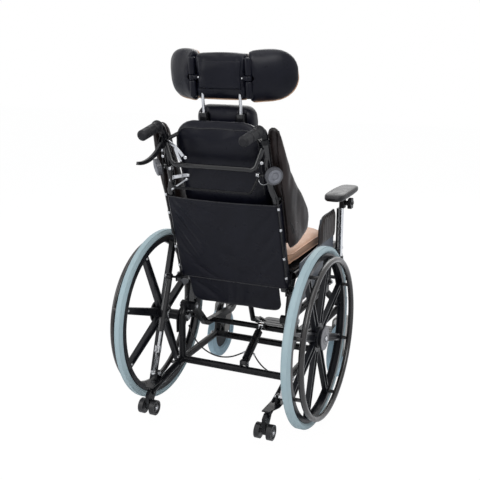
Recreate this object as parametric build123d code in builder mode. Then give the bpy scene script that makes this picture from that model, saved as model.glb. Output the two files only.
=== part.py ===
from build123d import *
import math
import os

# Tilt in space wheelchair. The chair faces -Y, +Z is up, +X is the sitter's left. The origin is on the
# floor, midway between the rear wheels and straight under their axle. All sizes are in millimetres.

# ------------------------------------------------------------------ driving dimensions
TRACK = 578.0                 # between the middle planes of the rear wheels
WHEEL_D = 600.0               # rear tyre, outside
TYRE_W = 32.0
TYRE_H = 21.0                 # tyre outside the rim
RIM_W = 26.0
RIM_H = 18.0
SPOKES = 8
SPOKE_PHASE = 19.5            # degrees, first spoke above the rearward line
SPOKE_W_HUB = 30.0
SPOKE_W_RIM = 22.0
SPOKE_T = 16.0
SPOKE_POCKET = 5.0            # depth of the recess on each face
HUB_D = 70.0
HUB_IN = 25.0                 # hub, inboard of the wheel plane
HUB_OUT = 27.0
CAP_D = 80.0
CAP_T = 4.0
HANDRIM_IN = 40.0             # centre line of the handrim, inside the tyre's crown
HANDRIM_TUBE = 19.0
HANDRIM_OFFSET = 39.0         # outboard of the wheel plane
STANDOFF_D = 12.0
AXLE_D = 12.0

FRAME_X = 200.0               # middle of the base side frames
TUBE_D = 25.0
RAIL_Z = 147.0                # lower rail
TOP_RAIL_Z = 356.0
UPRIGHT_Y = 20.0
FRONT_CROSS_Y = -250.0
BOSS_D = 34.0                 # axle carrier

CASTER_D = 196.0
CASTER_W = 32.0
CASTER_X = 246.0
SWIVEL_Y = -425.0
TRAIL = 35.0
STEM_D = 14.0
HOUSING_D = 38.0
HOUSING_Z = 232.0
HOUSING_H = 68.0

ANTI_TIP_X = 208.0
ANTI_TIP_Y = 245.0            # roller axle
ROLLER_D = 50.0
ROLLER_W = 17.0
ROLLER_GAP = 24.0             # between the two rollers of a pair
ROLLER_Z = 62.0
ARM_D = 22.0

TILT_Y = -12.0                # tilt pivot
TILT_Z = 338.0
TILT_RANGE = 25.0
PIVOT_D = 12.0

SEAT_X = 205.0                # middle of the seat rails
SEAT_Z = 500.0
SEAT_FRONT = -440.0
SEAT_REAR = 5.0
SWING_X = 168.5               # square swing tubes under the seat
SWING_W = 20.0
PAN_T = 6.0
CUSHION_W = 396.0
CUSHION_D = 420.0
CUSHION_H = 60.0
CUSHION_CROWN = 9.0

SPRING_X = 232.0              # side gas springs
SPRING_D = 22.0
SPRING_ROD_D = 10.0
SPRING_SLOP = 1.4             # play of the springs' upper eyes, which takes up the arc
STRUT_X = -38.0               # centre strut
STRUT_D = 28.0
STRUT_ROD_D = 12.0
STRUT_SLOP = 1.0              # play of the strut's head round its pin, which takes up the arc

ARM_X = 245.0
ARM_Y = -385.0
POST_D = 14.0
ARM_PAD_L = 240.0
ARM_PAD_W = 62.0
ARM_PAD_Z = 700.0

HANGER_Y = -478.0
HANGER_Z = 478.0
HANGER_LEAN = 20.2
FOOT_Z = 70.0

RECLINE_Y = 12.0
RECLINE_Z = 457.0
BACK_LEAN = 17.4              # degrees, canes behind the vertical
CANE_X = 182.0                # lower part of the canes
CANE_TOP_X = 170.0
CANE_D = 22.0
CANE_BORE = 19.0
CANE_H = 515.0
HANDLE_UP = 47.0              # bend of the push handles above the canes
COLLAR_R = 14.0
GRIP_L = 104.0
GRIP_D = 33.0
KNOB_D = 54.0
BACK_TOP = 552.0
BACK_BOTTOM = 112.0
BACK_W = 326.0
ROLL_W = 198.0                # neck roll
ROLL_LOW = 486.0
ROLL_TOP = 586.0
POCKET_TOP = 316.0
POCKET_LOW = 6.0
POCKET_W = 393.0
FLAP_W = 330.0
FLAP_BOTTOM = -93.0
SKIN_T = 3.0
WING_T = 24.0
WING_X = 197.0                # inner face of the side wings
BOLSTER_W = 28.0              # from the wing in towards the cushion

HEAD_Y = 104.0                # headrest posts where they leave the back
HEAD_Z = 1026.0
HEAD_LEAN = 7.0
POST_X = 63.0
HEAD_POST_D = 10.0
HEAD_W = 164.0
HEAD_H = 140.0
HEAD_T = 66.0
HEAD_UP = 40.0                # pad above the guides
EAR_L = 150.0
EAR_H = 160.0
EAR_T = 58.0
EAR_ANGLE = 28.0
SLEEVE_R = 11.0               # sleeve of the ears round their pins

RUN = 0.05                    # radial clearance of a running fit
GAP = 0.4                     # clearance between pieces that pass each other
SOFT = 0.3                    # clearance of a soft piece
CABLE_D = 5.0

WHEEL_X = TRACK / 2
AXLE_Z = WHEEL_D / 2
RIM_R = WHEEL_D / 2 - TYRE_H
HANDRIM_D = WHEEL_D - 2 * HANDRIM_IN
CASTER_R = CASTER_D / 2
CASTER_Y = SWIVEL_Y + TRAIL
HUB_IN_X = WHEEL_X - HUB_IN
HUB_OUT_X = WHEEL_X + HUB_OUT

# the back is drawn in its own plane: x across, y rearward, z up along the canes
BACK = Plane(
    origin=(0, RECLINE_Y, RECLINE_Z),
    x_dir=(1, 0, 0),
    z_dir=(0, math.sin(math.radians(BACK_LEAN)), math.cos(math.radians(BACK_LEAN))),
)
HEAD = Plane(
    origin=(0, HEAD_Y, HEAD_Z),
    x_dir=(1, 0, 0),
    z_dir=(0, math.sin(math.radians(HEAD_LEAN)), math.cos(math.radians(HEAD_LEAN))),
)


def tube(points, bends, outer, bore=0.0):
    """Round tube along a bent centre line, with one bend radius for each inner point."""
    with BuildPart() as run:
        with BuildLine() as path:
            if bends:
                FilletPolyline(*points, radius=bends)
            else:
                Line(*points)
        with BuildSketch(Plane(origin=path.line @ 0, z_dir=path.line % 0)):
            Circle(outer / 2)
            if bore:
                Circle(bore / 2, mode=Mode.SUBTRACT)
        sweep()
    return run.part


def bar(points, bends, across, along):
    """Rectangular tube in a plane of constant x: across is its size along x."""
    with BuildPart() as run:
        with BuildLine() as path:
            FilletPolyline(*points, radius=bends)
        with BuildSketch(Plane(origin=path.line @ 0, x_dir=(1, 0, 0), z_dir=path.line % 0)):
            Rectangle(across, along)
        sweep()
    return run.part


def rod(x0, x1, y, z, diameter, bore=0.0):
    """Round bar or bush along x."""
    with BuildPart() as run:
        with BuildSketch(Plane(origin=(min(x0, x1), y, z), x_dir=(0, 1, 0), z_dir=(1, 0, 0))):
            Circle(diameter / 2)
            if bore:
                Circle(bore / 2, mode=Mode.SUBTRACT)
        extrude(amount=abs(x1 - x0))
    return run.part


def side_plane(x):
    """Plane of constant x, drawn with y to the right and z up."""
    return Plane(origin=(x, 0, 0), x_dir=(0, 1, 0), z_dir=(1, 0, 0))


def axle_plane(x):
    """Plane across the rear axle at x, with its origin on the axle."""
    return Plane(origin=(x, 0, AXLE_Z), x_dir=(0, 1, 0), z_dir=(1, 0, 0))


def back_side(x):
    """Plane of constant x in the back: x rearward, y up along the canes."""
    return Plane(origin=BACK.from_local_coords((x, 0, 0)), x_dir=BACK.y_dir, z_dir=(1, 0, 0))


def head_side(x):
    """Plane of constant x in the headrest: x rearward, y up along the posts."""
    return Plane(origin=HEAD.from_local_coords((x, 0, 0)), x_dir=HEAD.y_dir, z_dir=(1, 0, 0))


def on_back(*points):
    return [BACK.from_local_coords(point) for point in points]


def between(start, end):
    """Plane at start whose z runs to end, with its x across the chair."""
    a = Vector(*start)
    return Plane(origin=a, x_dir=(1, 0, 0), z_dir=Vector(*end) - a)


# ------------------------------------------------------------------ base side frames
ARM_START_Y = UPRIGHT_Y + TUBE_D / 2
HOUSING_TOP = HOUSING_Z + HOUSING_H
SWIVEL_BACK_Y = SWIVEL_Y + HOUSING_D / 2 - 4

upright = tube(
    [
        (FRAME_X, UPRIGHT_Y, RAIL_Z - TUBE_D / 2),
        (FRAME_X, UPRIGHT_Y, TOP_RAIL_Z - 38),
        (FRAME_X, UPRIGHT_Y - 62, TOP_RAIL_Z),
        (FRAME_X, SWIVEL_Y + 92, TOP_RAIL_Z),
        (CASTER_X - 16, SWIVEL_BACK_Y, HOUSING_TOP - 20),
    ],
    [45, 45, 30],
    TUBE_D,
)
lower_rail = tube(
    [
        (FRAME_X, UPRIGHT_Y, RAIL_Z),
        (FRAME_X, FRONT_CROSS_Y - 14, RAIL_Z),
        (FRAME_X + 5, FRONT_CROSS_Y - 42, RAIL_Z + 82),
        (CASTER_X - 12, SWIVEL_BACK_Y, HOUSING_Z + 26),
    ],
    [22, 40],
    TUBE_D,
)
with BuildPart() as base_side_frame_left:
    add(upright)
    add(lower_rail)
    # caster housing
    with BuildSketch(Plane(origin=(CASTER_X, SWIVEL_Y, HOUSING_Z))):
        Circle(HOUSING_D / 2)
    extrude(amount=HOUSING_H)
    with Locations((CASTER_X, SWIVEL_Y, HOUSING_TOP)):
        Cylinder(HOUSING_D / 2 - 5, 7, align=(Align.CENTER, Align.CENTER, Align.MIN))
    # axle carrier: a boss through a gusset plate that laps the upright
    add(rod(FRAME_X - TUBE_D / 2, HUB_IN_X - 9, 0, AXLE_Z, BOSS_D))
    with BuildSketch(side_plane(FRAME_X + TUBE_D / 2 - 2)):
        with BuildLine():
            Polyline(
                (-24, AXLE_Z - 18), (UPRIGHT_Y - 8, AXLE_Z - 52), (UPRIGHT_Y + 12, AXLE_Z - 52),
                (UPRIGHT_Y + 12, AXLE_Z + 10), (4, AXLE_Z + 30), (-24, AXLE_Z + 22), close=True,
            )
        make_face()
    extrude(amount=6)
    # boss for the tilt pivot
    add(rod(FRAME_X - TUBE_D / 2 - 0.6, FRAME_X + TUBE_D / 2 + 2, TILT_Y, TILT_Z, BOSS_D))
    # spigot for the anti-tip arm behind the lower joint
    add(tube([(FRAME_X, UPRIGHT_Y, RAIL_Z), (FRAME_X + 1, ARM_START_Y + 26, RAIL_Z - 3)], [], TUBE_D + 3))
    # bores
    add(rod(FRAME_X - 30, HUB_IN_X, 0, AXLE_Z, AXLE_D), mode=Mode.SUBTRACT)
    add(rod(FRAME_X - 30, FRAME_X + 30, TILT_Y, TILT_Z, PIVOT_D), mode=Mode.SUBTRACT)
    with Locations((CASTER_X, SWIVEL_Y, HOUSING_Z)):
        Cylinder(
            STEM_D / 2 + RUN, HOUSING_H - 6, align=(Align.CENTER, Align.CENTER, Align.MIN), mode=Mode.SUBTRACT
        )
with BuildPart() as base_side_frame_right:
    mirror(base_side_frame_left.part, about=Plane.YZ)

# ------------------------------------------------------------------ cross tubes, cut to the side frames
STRUT_FOOT = (UPRIGHT_Y - 2, RAIL_Z + 25)
with BuildPart() as base_cross_tubes:
    add(rod(-FRAME_X, FRAME_X, UPRIGHT_Y, RAIL_Z, TUBE_D))
    add(rod(-FRAME_X, FRAME_X, FRONT_CROSS_Y, RAIL_Z, TUBE_D))
    # clevis of the centre strut
    for side in (-1, 1):
        with BuildSketch(side_plane(STRUT_X + side * 11 - 2)):
            with BuildLine():
                Polyline(
                    (UPRIGHT_Y - 10, RAIL_Z), (UPRIGHT_Y + 10, RAIL_Z), (UPRIGHT_Y + 8, RAIL_Z + 34),
                    (UPRIGHT_Y - 12, RAIL_Z + 34), close=True,
                )
            make_face()
        extrude(amount=4)
    add(rod(STRUT_X - 20, STRUT_X + 20, *STRUT_FOOT, 8), mode=Mode.SUBTRACT)
    add(base_side_frame_left.part, mode=Mode.SUBTRACT)
    add(base_side_frame_right.part, mode=Mode.SUBTRACT)

# ------------------------------------------------------------------ anti-tip arms
ARM_END = (ANTI_TIP_X, ANTI_TIP_Y - 14, RAIL_Z - 40)
SPRING_FOOT_Y = 165.0
SPRING_FOOT_Z = 146.0
with BuildPart() as arm_left:
    add(tube([(FRAME_X + 1, ARM_START_Y + 26, RAIL_Z - 3), (FRAME_X + 4, 110, RAIL_Z - 14), ARM_END], [90], ARM_D))
    # roller carrier: a web under the arm that ends in the axle boss
    with BuildSketch(side_plane(ANTI_TIP_X - 6)):
        with BuildLine():
            Polyline(
                (ANTI_TIP_Y - 44, RAIL_Z - 42), (ANTI_TIP_Y - 6, RAIL_Z - 28), (ANTI_TIP_Y + 12, RAIL_Z - 40),
                (ANTI_TIP_Y + 12, ROLLER_Z), (ANTI_TIP_Y - 12, ROLLER_Z), close=True,
            )
        make_face()
        with Locations((ANTI_TIP_Y, ROLLER_Z)):
            Circle(12)
    extrude(amount=12)
    # foot pedal: a flat plate over the arm that tapers to the rear
    with BuildSketch(Plane.XY.offset(RAIL_Z - 22)):
        with BuildLine():
            Polyline(
                (ANTI_TIP_X - 10, 128), (ANTI_TIP_X + 30, 150), (ANTI_TIP_X + 30, 196),
                (ANTI_TIP_X + 12, ANTI_TIP_Y - 2), (ANTI_TIP_X - 12, ANTI_TIP_Y - 2), close=True,
            )
        make_face()
    extrude(amount=4)
    # ear for the gas spring
    with BuildSketch(side_plane(SPRING_X - 17)):
        with BuildLine():
            Polyline(
                (SPRING_FOOT_Y - 16, RAIL_Z - 22), (SPRING_FOOT_Y + 18, RAIL_Z - 22),
                (SPRING_FOOT_Y + 9, SPRING_FOOT_Z + 9), (SPRING_FOOT_Y - 9, SPRING_FOOT_Z + 9), close=True,
            )
        make_face()
    extrude(amount=8)
    add(rod(SPRING_X - 20, SPRING_X, SPRING_FOOT_Y, SPRING_FOOT_Z, 8), mode=Mode.SUBTRACT)
    add(rod(ANTI_TIP_X - 20, ANTI_TIP_X + 20, ANTI_TIP_Y, ROLLER_Z, 8), mode=Mode.SUBTRACT)
    add(base_side_frame_left.part, mode=Mode.SUBTRACT)
with BuildPart() as anti_tip_arms:
    add(arm_left.part)
    mirror(arm_left.part, about=Plane.YZ)

# ------------------------------------------------------------------ axles and pivot pins of the base
ROLLER_SPAN = ROLLER_GAP / 2 + ROLLER_W
with BuildPart() as fasteners_left:
    add(rod(FRAME_X - TUBE_D / 2 - 6, HUB_OUT_X - 4, 0, AXLE_Z, AXLE_D))
    add(rod(FRAME_X - TUBE_D / 2 - 6, FRAME_X - TUBE_D / 2, 0, AXLE_Z, 22))
    add(rod(HUB_IN_X - 9, HUB_IN_X - 1, 0, AXLE_Z, 24))
with BuildPart() as pivot_left:
    add(rod(SWING_X - SWING_W / 2 - 3, FRAME_X + TUBE_D / 2 + 8, TILT_Y, TILT_Z, PIVOT_D))
    add(rod(FRAME_X + TUBE_D / 2 + 2, FRAME_X + TUBE_D / 2 + 8, TILT_Y, TILT_Z, 20))
with BuildPart() as roller_pin_left:
    add(rod(ANTI_TIP_X - ROLLER_SPAN - 3, ANTI_TIP_X + ROLLER_SPAN + 3, ANTI_TIP_Y, ROLLER_Z, 8))
with BuildPart() as spring_pin_left:
    add(rod(SPRING_X - 22, SPRING_X + 9, SPRING_FOOT_Y, SPRING_FOOT_Z, 8))
    add(rod(SPRING_X - 22, SPRING_X - 17, SPRING_FOOT_Y, SPRING_FOOT_Z, 14))
with BuildPart() as strut_pin:
    add(rod(STRUT_X - 16, STRUT_X + 16, *STRUT_FOOT, 8))
with BuildPart() as base_fasteners:
    for pin in (fasteners_left, pivot_left, roller_pin_left, spring_pin_left):
        add(pin.part)
        mirror(pin.part, about=Plane.YZ)
    add(strut_pin.part)

# ------------------------------------------------------------------ rear wheels
AXLE = Axis((0, 0, AXLE_Z), (1, 0, 0))
WHEEL_SECTION = Plane.XY.offset(AXLE_Z)
SPOKE_IN = HUB_D / 2 - 4
SPOKE_OUT = RIM_R - 5
with BuildPart() as mag_wheel_left:
    # rim: a channel that opens inward, drawn across the wheel and turned about the axle
    with BuildSketch(WHEEL_SECTION):
        with BuildLine():
            Polyline(
                (WHEEL_X - RIM_W / 2, RIM_R - 1), (WHEEL_X - RIM_W / 2, RIM_R - RIM_H),
                (WHEEL_X - RIM_W / 2 + 4, RIM_R - RIM_H), (WHEEL_X - RIM_W / 2 + 7, RIM_R - 7),
                (WHEEL_X + RIM_W / 2 - 7, RIM_R - 7), (WHEEL_X + RIM_W / 2 - 4, RIM_R - RIM_H),
                (WHEEL_X + RIM_W / 2, RIM_R - RIM_H), (WHEEL_X + RIM_W / 2, RIM_R - 1),
                (WHEEL_X + RIM_W / 2 - 3, RIM_R), (WHEEL_X - RIM_W / 2 + 3, RIM_R), close=True,
            )
        make_face()
    revolve(axis=AXLE)
    # hub with a stepped flange
    with BuildSketch(WHEEL_SECTION):
        with BuildLine():
            Polyline(
                (HUB_IN_X, 0), (HUB_IN_X, HUB_D / 2 - 12), (WHEEL_X - 12, HUB_D / 2), (WHEEL_X + 12, HUB_D / 2),
                (HUB_OUT_X - CAP_T, HUB_D / 2 - 8), (HUB_OUT_X - CAP_T, CAP_D / 2), (HUB_OUT_X, CAP_D / 2),
                (HUB_OUT_X, 14), (HUB_OUT_X - 2, 12), (HUB_OUT_X - 2, 0), close=True,
            )
        make_face()
    revolve(axis=AXLE)
    # tapered spokes, recessed on both faces between their edge ribs
    with BuildSketch(axle_plane(WHEEL_X - SPOKE_T / 2)):
        with PolarLocations(0, SPOKES, start_angle=SPOKE_PHASE):
            Polygon(
                (SPOKE_IN, -SPOKE_W_HUB / 2), (SPOKE_OUT, -SPOKE_W_RIM / 2),
                (SPOKE_OUT, SPOKE_W_RIM / 2), (SPOKE_IN, SPOKE_W_HUB / 2), align=None,
            )
    extrude(amount=SPOKE_T)
    for face_x, way in ((WHEEL_X - SPOKE_T / 2, 1), (WHEEL_X + SPOKE_T / 2, -1)):
        with BuildSketch(axle_plane(face_x)):
            with PolarLocations(0, SPOKES, start_angle=SPOKE_PHASE):
                Polygon(
                    (SPOKE_IN + 16, -SPOKE_W_HUB / 2 + 6), (SPOKE_OUT - 28, -SPOKE_W_RIM / 2 + 5),
                    (SPOKE_OUT - 28, SPOKE_W_RIM / 2 - 5), (SPOKE_IN + 16, SPOKE_W_HUB / 2 - 6), align=None,
                )
        extrude(amount=way * SPOKE_POCKET, mode=Mode.SUBTRACT)
    add(rod(HUB_IN_X - 1, HUB_OUT_X - 3.5, 0, AXLE_Z, AXLE_D + 2 * RUN), mode=Mode.SUBTRACT)
with BuildPart() as mag_wheel_right:
    mirror(mag_wheel_left.part, about=Plane.YZ)
with BuildPart() as rear_tyre_left:
    with BuildSketch(WHEEL_SECTION):
        with BuildLine():
            crown = WHEEL_D / 2
            Line((WHEEL_X - RIM_W / 2 + 3, RIM_R), (WHEEL_X + RIM_W / 2 - 3, RIM_R))
            Line((WHEEL_X + RIM_W / 2 - 3, RIM_R), (WHEEL_X + TYRE_W / 2, RIM_R + 8))
            ThreePointArc(
                (WHEEL_X + TYRE_W / 2, RIM_R + 8), (WHEEL_X + TYRE_W / 2 - 4, crown - 5), (WHEEL_X + 7, crown)
            )
            Line((WHEEL_X + 7, crown), (WHEEL_X - 7, crown))
            ThreePointArc(
                (WHEEL_X - 7, crown), (WHEEL_X - TYRE_W / 2 + 4, crown - 5), (WHEEL_X - TYRE_W / 2, RIM_R + 8)
            )
            Line((WHEEL_X - TYRE_W / 2, RIM_R + 8), (WHEEL_X - RIM_W / 2 + 3, RIM_R))
        make_face()
    revolve(axis=AXLE)
with BuildPart() as rear_tyre_right:
    mirror(rear_tyre_left.part, about=Plane.YZ)

# handrim on stand-offs that meet the rim beside each spoke
HANDRIM_X = WHEEL_X + HANDRIM_OFFSET
STANDOFF_R = (RIM_R - RIM_H + HANDRIM_D / 2) / 2 + 4
with BuildPart() as handrim_left:
    with BuildSketch(WHEEL_SECTION):
        with Locations((HANDRIM_X, HANDRIM_D / 2)):
            Circle(HANDRIM_TUBE / 2)
    revolve(axis=AXLE)
    with BuildSketch(axle_plane(WHEEL_X + RIM_W / 2)):
        with PolarLocations(STANDOFF_R, SPOKES, start_angle=SPOKE_PHASE):
            Circle(STANDOFF_D / 2)
    extrude(amount=HANDRIM_OFFSET - RIM_W / 2)
with BuildPart() as handrim_right:
    mirror(handrim_left.part, about=Plane.YZ)

# ------------------------------------------------------------------ casters
CROWN_TOP = HOUSING_Z - GAP
CROWN_T = 20.0
BLADE_IN = CASTER_W / 2 + 5
BLADE_T = 6.0
BLADE_MID = BLADE_IN + BLADE_T / 2
CASTER_AXLE = Axis((CASTER_X, CASTER_Y, CASTER_R), (1, 0, 0))
with BuildPart() as caster_fork_left:
    with Locations((CASTER_X, SWIVEL_Y, CROWN_TOP - CROWN_T + 2)):
        Cylinder(STEM_D / 2, CROWN_T + HOUSING_H - 14, align=(Align.CENTER, Align.CENTER, Align.MIN))
    # crown and blades: an arch seen from the front, cut to the sickle shape seen from the side
    with BuildSketch(Plane(origin=(CASTER_X, CASTER_Y + 20, 0), x_dir=(1, 0, 0), z_dir=(0, -1, 0))):
        with BuildLine():
            FilletPolyline(
                (-BLADE_MID, CASTER_R - 14), (-BLADE_MID, CROWN_TOP - CROWN_T / 2),
                (BLADE_MID, CROWN_TOP - CROWN_T / 2), (BLADE_MID, CASTER_R - 14), radius=14,
            )
            offset(amount=BLADE_T / 2, side=Side.BOTH)
        make_face()
    extrude(amount=80)
    with BuildSketch(side_plane(CASTER_X - BLADE_IN - 12)):
        with BuildLine():
            outline = Polyline(
                (CASTER_Y - 13, CASTER_R - 20), (SWIVEL_Y - 20, CROWN_TOP - 46), (SWIVEL_Y - 24, CROWN_TOP),
                (SWIVEL_Y + 24, CROWN_TOP), (CASTER_Y + 16, CASTER_R + 26), (CASTER_Y + 13, CASTER_R - 20),
                close=True,
            )
        make_face()
        fillet(vertices(), 9)
    extrude(amount=2 * BLADE_IN + 24, mode=Mode.INTERSECT)
    with Locations((CASTER_X, SWIVEL_Y, CROWN_TOP - CROWN_T / 2)):
        Cylinder(STEM_D / 2, HOUSING_H - 10, align=(Align.CENTER, Align.CENTER, Align.MIN))
    # axle bolt, fixed in the blades
    add(rod(CASTER_X - BLADE_IN - 9, CASTER_X + BLADE_IN + 9, CASTER_Y, CASTER_R, 10))
with BuildPart() as caster_fork_right:
    mirror(caster_fork_left.part, about=Plane.YZ)

CASTER_CORE_R = CASTER_R - 24
CASTER_SECTION = Plane(origin=(CASTER_X, CASTER_Y, CASTER_R), x_dir=(1, 0, 0), z_dir=(0, 0, 1))
with BuildPart() as caster_wheel_left:
    # moulded in one: tyre, rim, web and hub
    with BuildSketch(CASTER_SECTION):
        with BuildLine():
            Polyline(
                (-BLADE_IN + 1, 5 + RUN), (-BLADE_IN + 1, 14), (-9, 20), (-4, 26), (-4, CASTER_CORE_R - 12),
                (-12, CASTER_CORE_R - 8), (-12, CASTER_CORE_R), (-CASTER_W / 2, CASTER_CORE_R + 4),
                (-CASTER_W / 2, CASTER_R - 7), (-CASTER_W / 2 + 5, CASTER_R), (CASTER_W / 2 - 5, CASTER_R),
                (CASTER_W / 2, CASTER_R - 7), (CASTER_W / 2, CASTER_CORE_R + 4), (12, CASTER_CORE_R),
                (12, CASTER_CORE_R - 8), (4, CASTER_CORE_R - 12), (4, 26), (9, 20), (BLADE_IN - 1, 14),
                (BLADE_IN - 1, 5 + RUN), close=True,
            )
        make_face()
    revolve(axis=CASTER_AXLE)
with BuildPart() as caster_wheel_right:
    mirror(caster_wheel_left.part, about=Plane.YZ)

# ------------------------------------------------------------------ anti-tip rollers
with BuildPart() as anti_tip_rollers_left:
    for side in (-1, 1):
        inner = ANTI_TIP_X + side * ROLLER_GAP / 2
        outer = ANTI_TIP_X + side * (ROLLER_GAP / 2 + ROLLER_W)
        add(rod(inner, outer, ANTI_TIP_Y, ROLLER_Z, ROLLER_D, 8 + 2 * RUN))
        add(rod(outer - side * 3, outer, ANTI_TIP_Y, ROLLER_Z, ROLLER_D - 14, ROLLER_D / 2), mode=Mode.SUBTRACT)
    # sleeve that joins the pair and runs in the carrier's boss
    add(rod(ANTI_TIP_X - ROLLER_GAP / 2, ANTI_TIP_X - 6 - GAP, ANTI_TIP_Y, ROLLER_Z, 14, 8 + 2 * RUN))
    add(rod(ANTI_TIP_X + 6 + GAP, ANTI_TIP_X + ROLLER_GAP / 2, ANTI_TIP_Y, ROLLER_Z, 14, 8 + 2 * RUN))
with BuildPart() as anti_tip_rollers_right:
    mirror(anti_tip_rollers_left.part, about=Plane.YZ)

# ------------------------------------------------------------------ wheel locks
LOCK_Y = -318.0
LOCK_Z = TOP_RAIL_Z + 34
LOCK_X0 = FRAME_X + TUBE_D / 2 + 9.5
with BuildPart() as lock_bracket_left:
    # clamp block on the top rail with the pivot boss above it
    with BuildSketch(side_plane(FRAME_X + 2)):
        with BuildLine():
            Polyline(
                (LOCK_Y - 17, TOP_RAIL_Z - 5), (LOCK_Y + 17, TOP_RAIL_Z - 5), (LOCK_Y + 12, LOCK_Z + 12),
                (LOCK_Y - 12, LOCK_Z + 12), close=True,
            )
        make_face()
    extrude(amount=LOCK_X0 - FRAME_X - 2 - GAP)
    add(rod(FRAME_X + 2, LOCK_X0 + 14, LOCK_Y, LOCK_Z, 10))
with BuildPart() as wheel_lock_left:
    with BuildSketch(side_plane(LOCK_X0)):
        with BuildLine():
            Polyline(
                (LOCK_Y + 14, LOCK_Z + 26), (LOCK_Y + 26, LOCK_Z + 26), (LOCK_Y + 13, LOCK_Z - 8),
                (LOCK_Y, LOCK_Z - 13), (LOCK_Y - 13, LOCK_Z - 6), (LOCK_Y - 19, LOCK_Z + 72),
                (LOCK_Y - 7, LOCK_Z + 74), (LOCK_Y - 1, LOCK_Z + 26), close=True,
            )
        make_face()
    extrude(amount=6)
    add(rod(LOCK_X0, LOCK_X0 + 10, LOCK_Y, LOCK_Z, 24))
    # shoe that presses the tyre, and a knobbed grip on the lever
    add(rod(LOCK_X0 + 2, WHEEL_X + 12, LOCK_Y + 20, LOCK_Z + 26, 13))
    knob_place = between((LOCK_X0 + 8.5, LOCK_Y - 12, LOCK_Z + 62), (LOCK_X0 + 8.5, LOCK_Y - 16, LOCK_Z + 98))
    with BuildSketch(knob_place):
        Circle(7.8)
    extrude(amount=36)
    fillet(faces().sort_by(Axis.Z)[-1].edges(), 4)
    add(rod(LOCK_X0 - 1, LOCK_X0 + 15, LOCK_Y, LOCK_Z, 10 + 2 * RUN), mode=Mode.SUBTRACT)
with BuildPart() as wheel_lock_right:
    mirror(wheel_lock_left.part, about=Plane.YZ)

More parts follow.
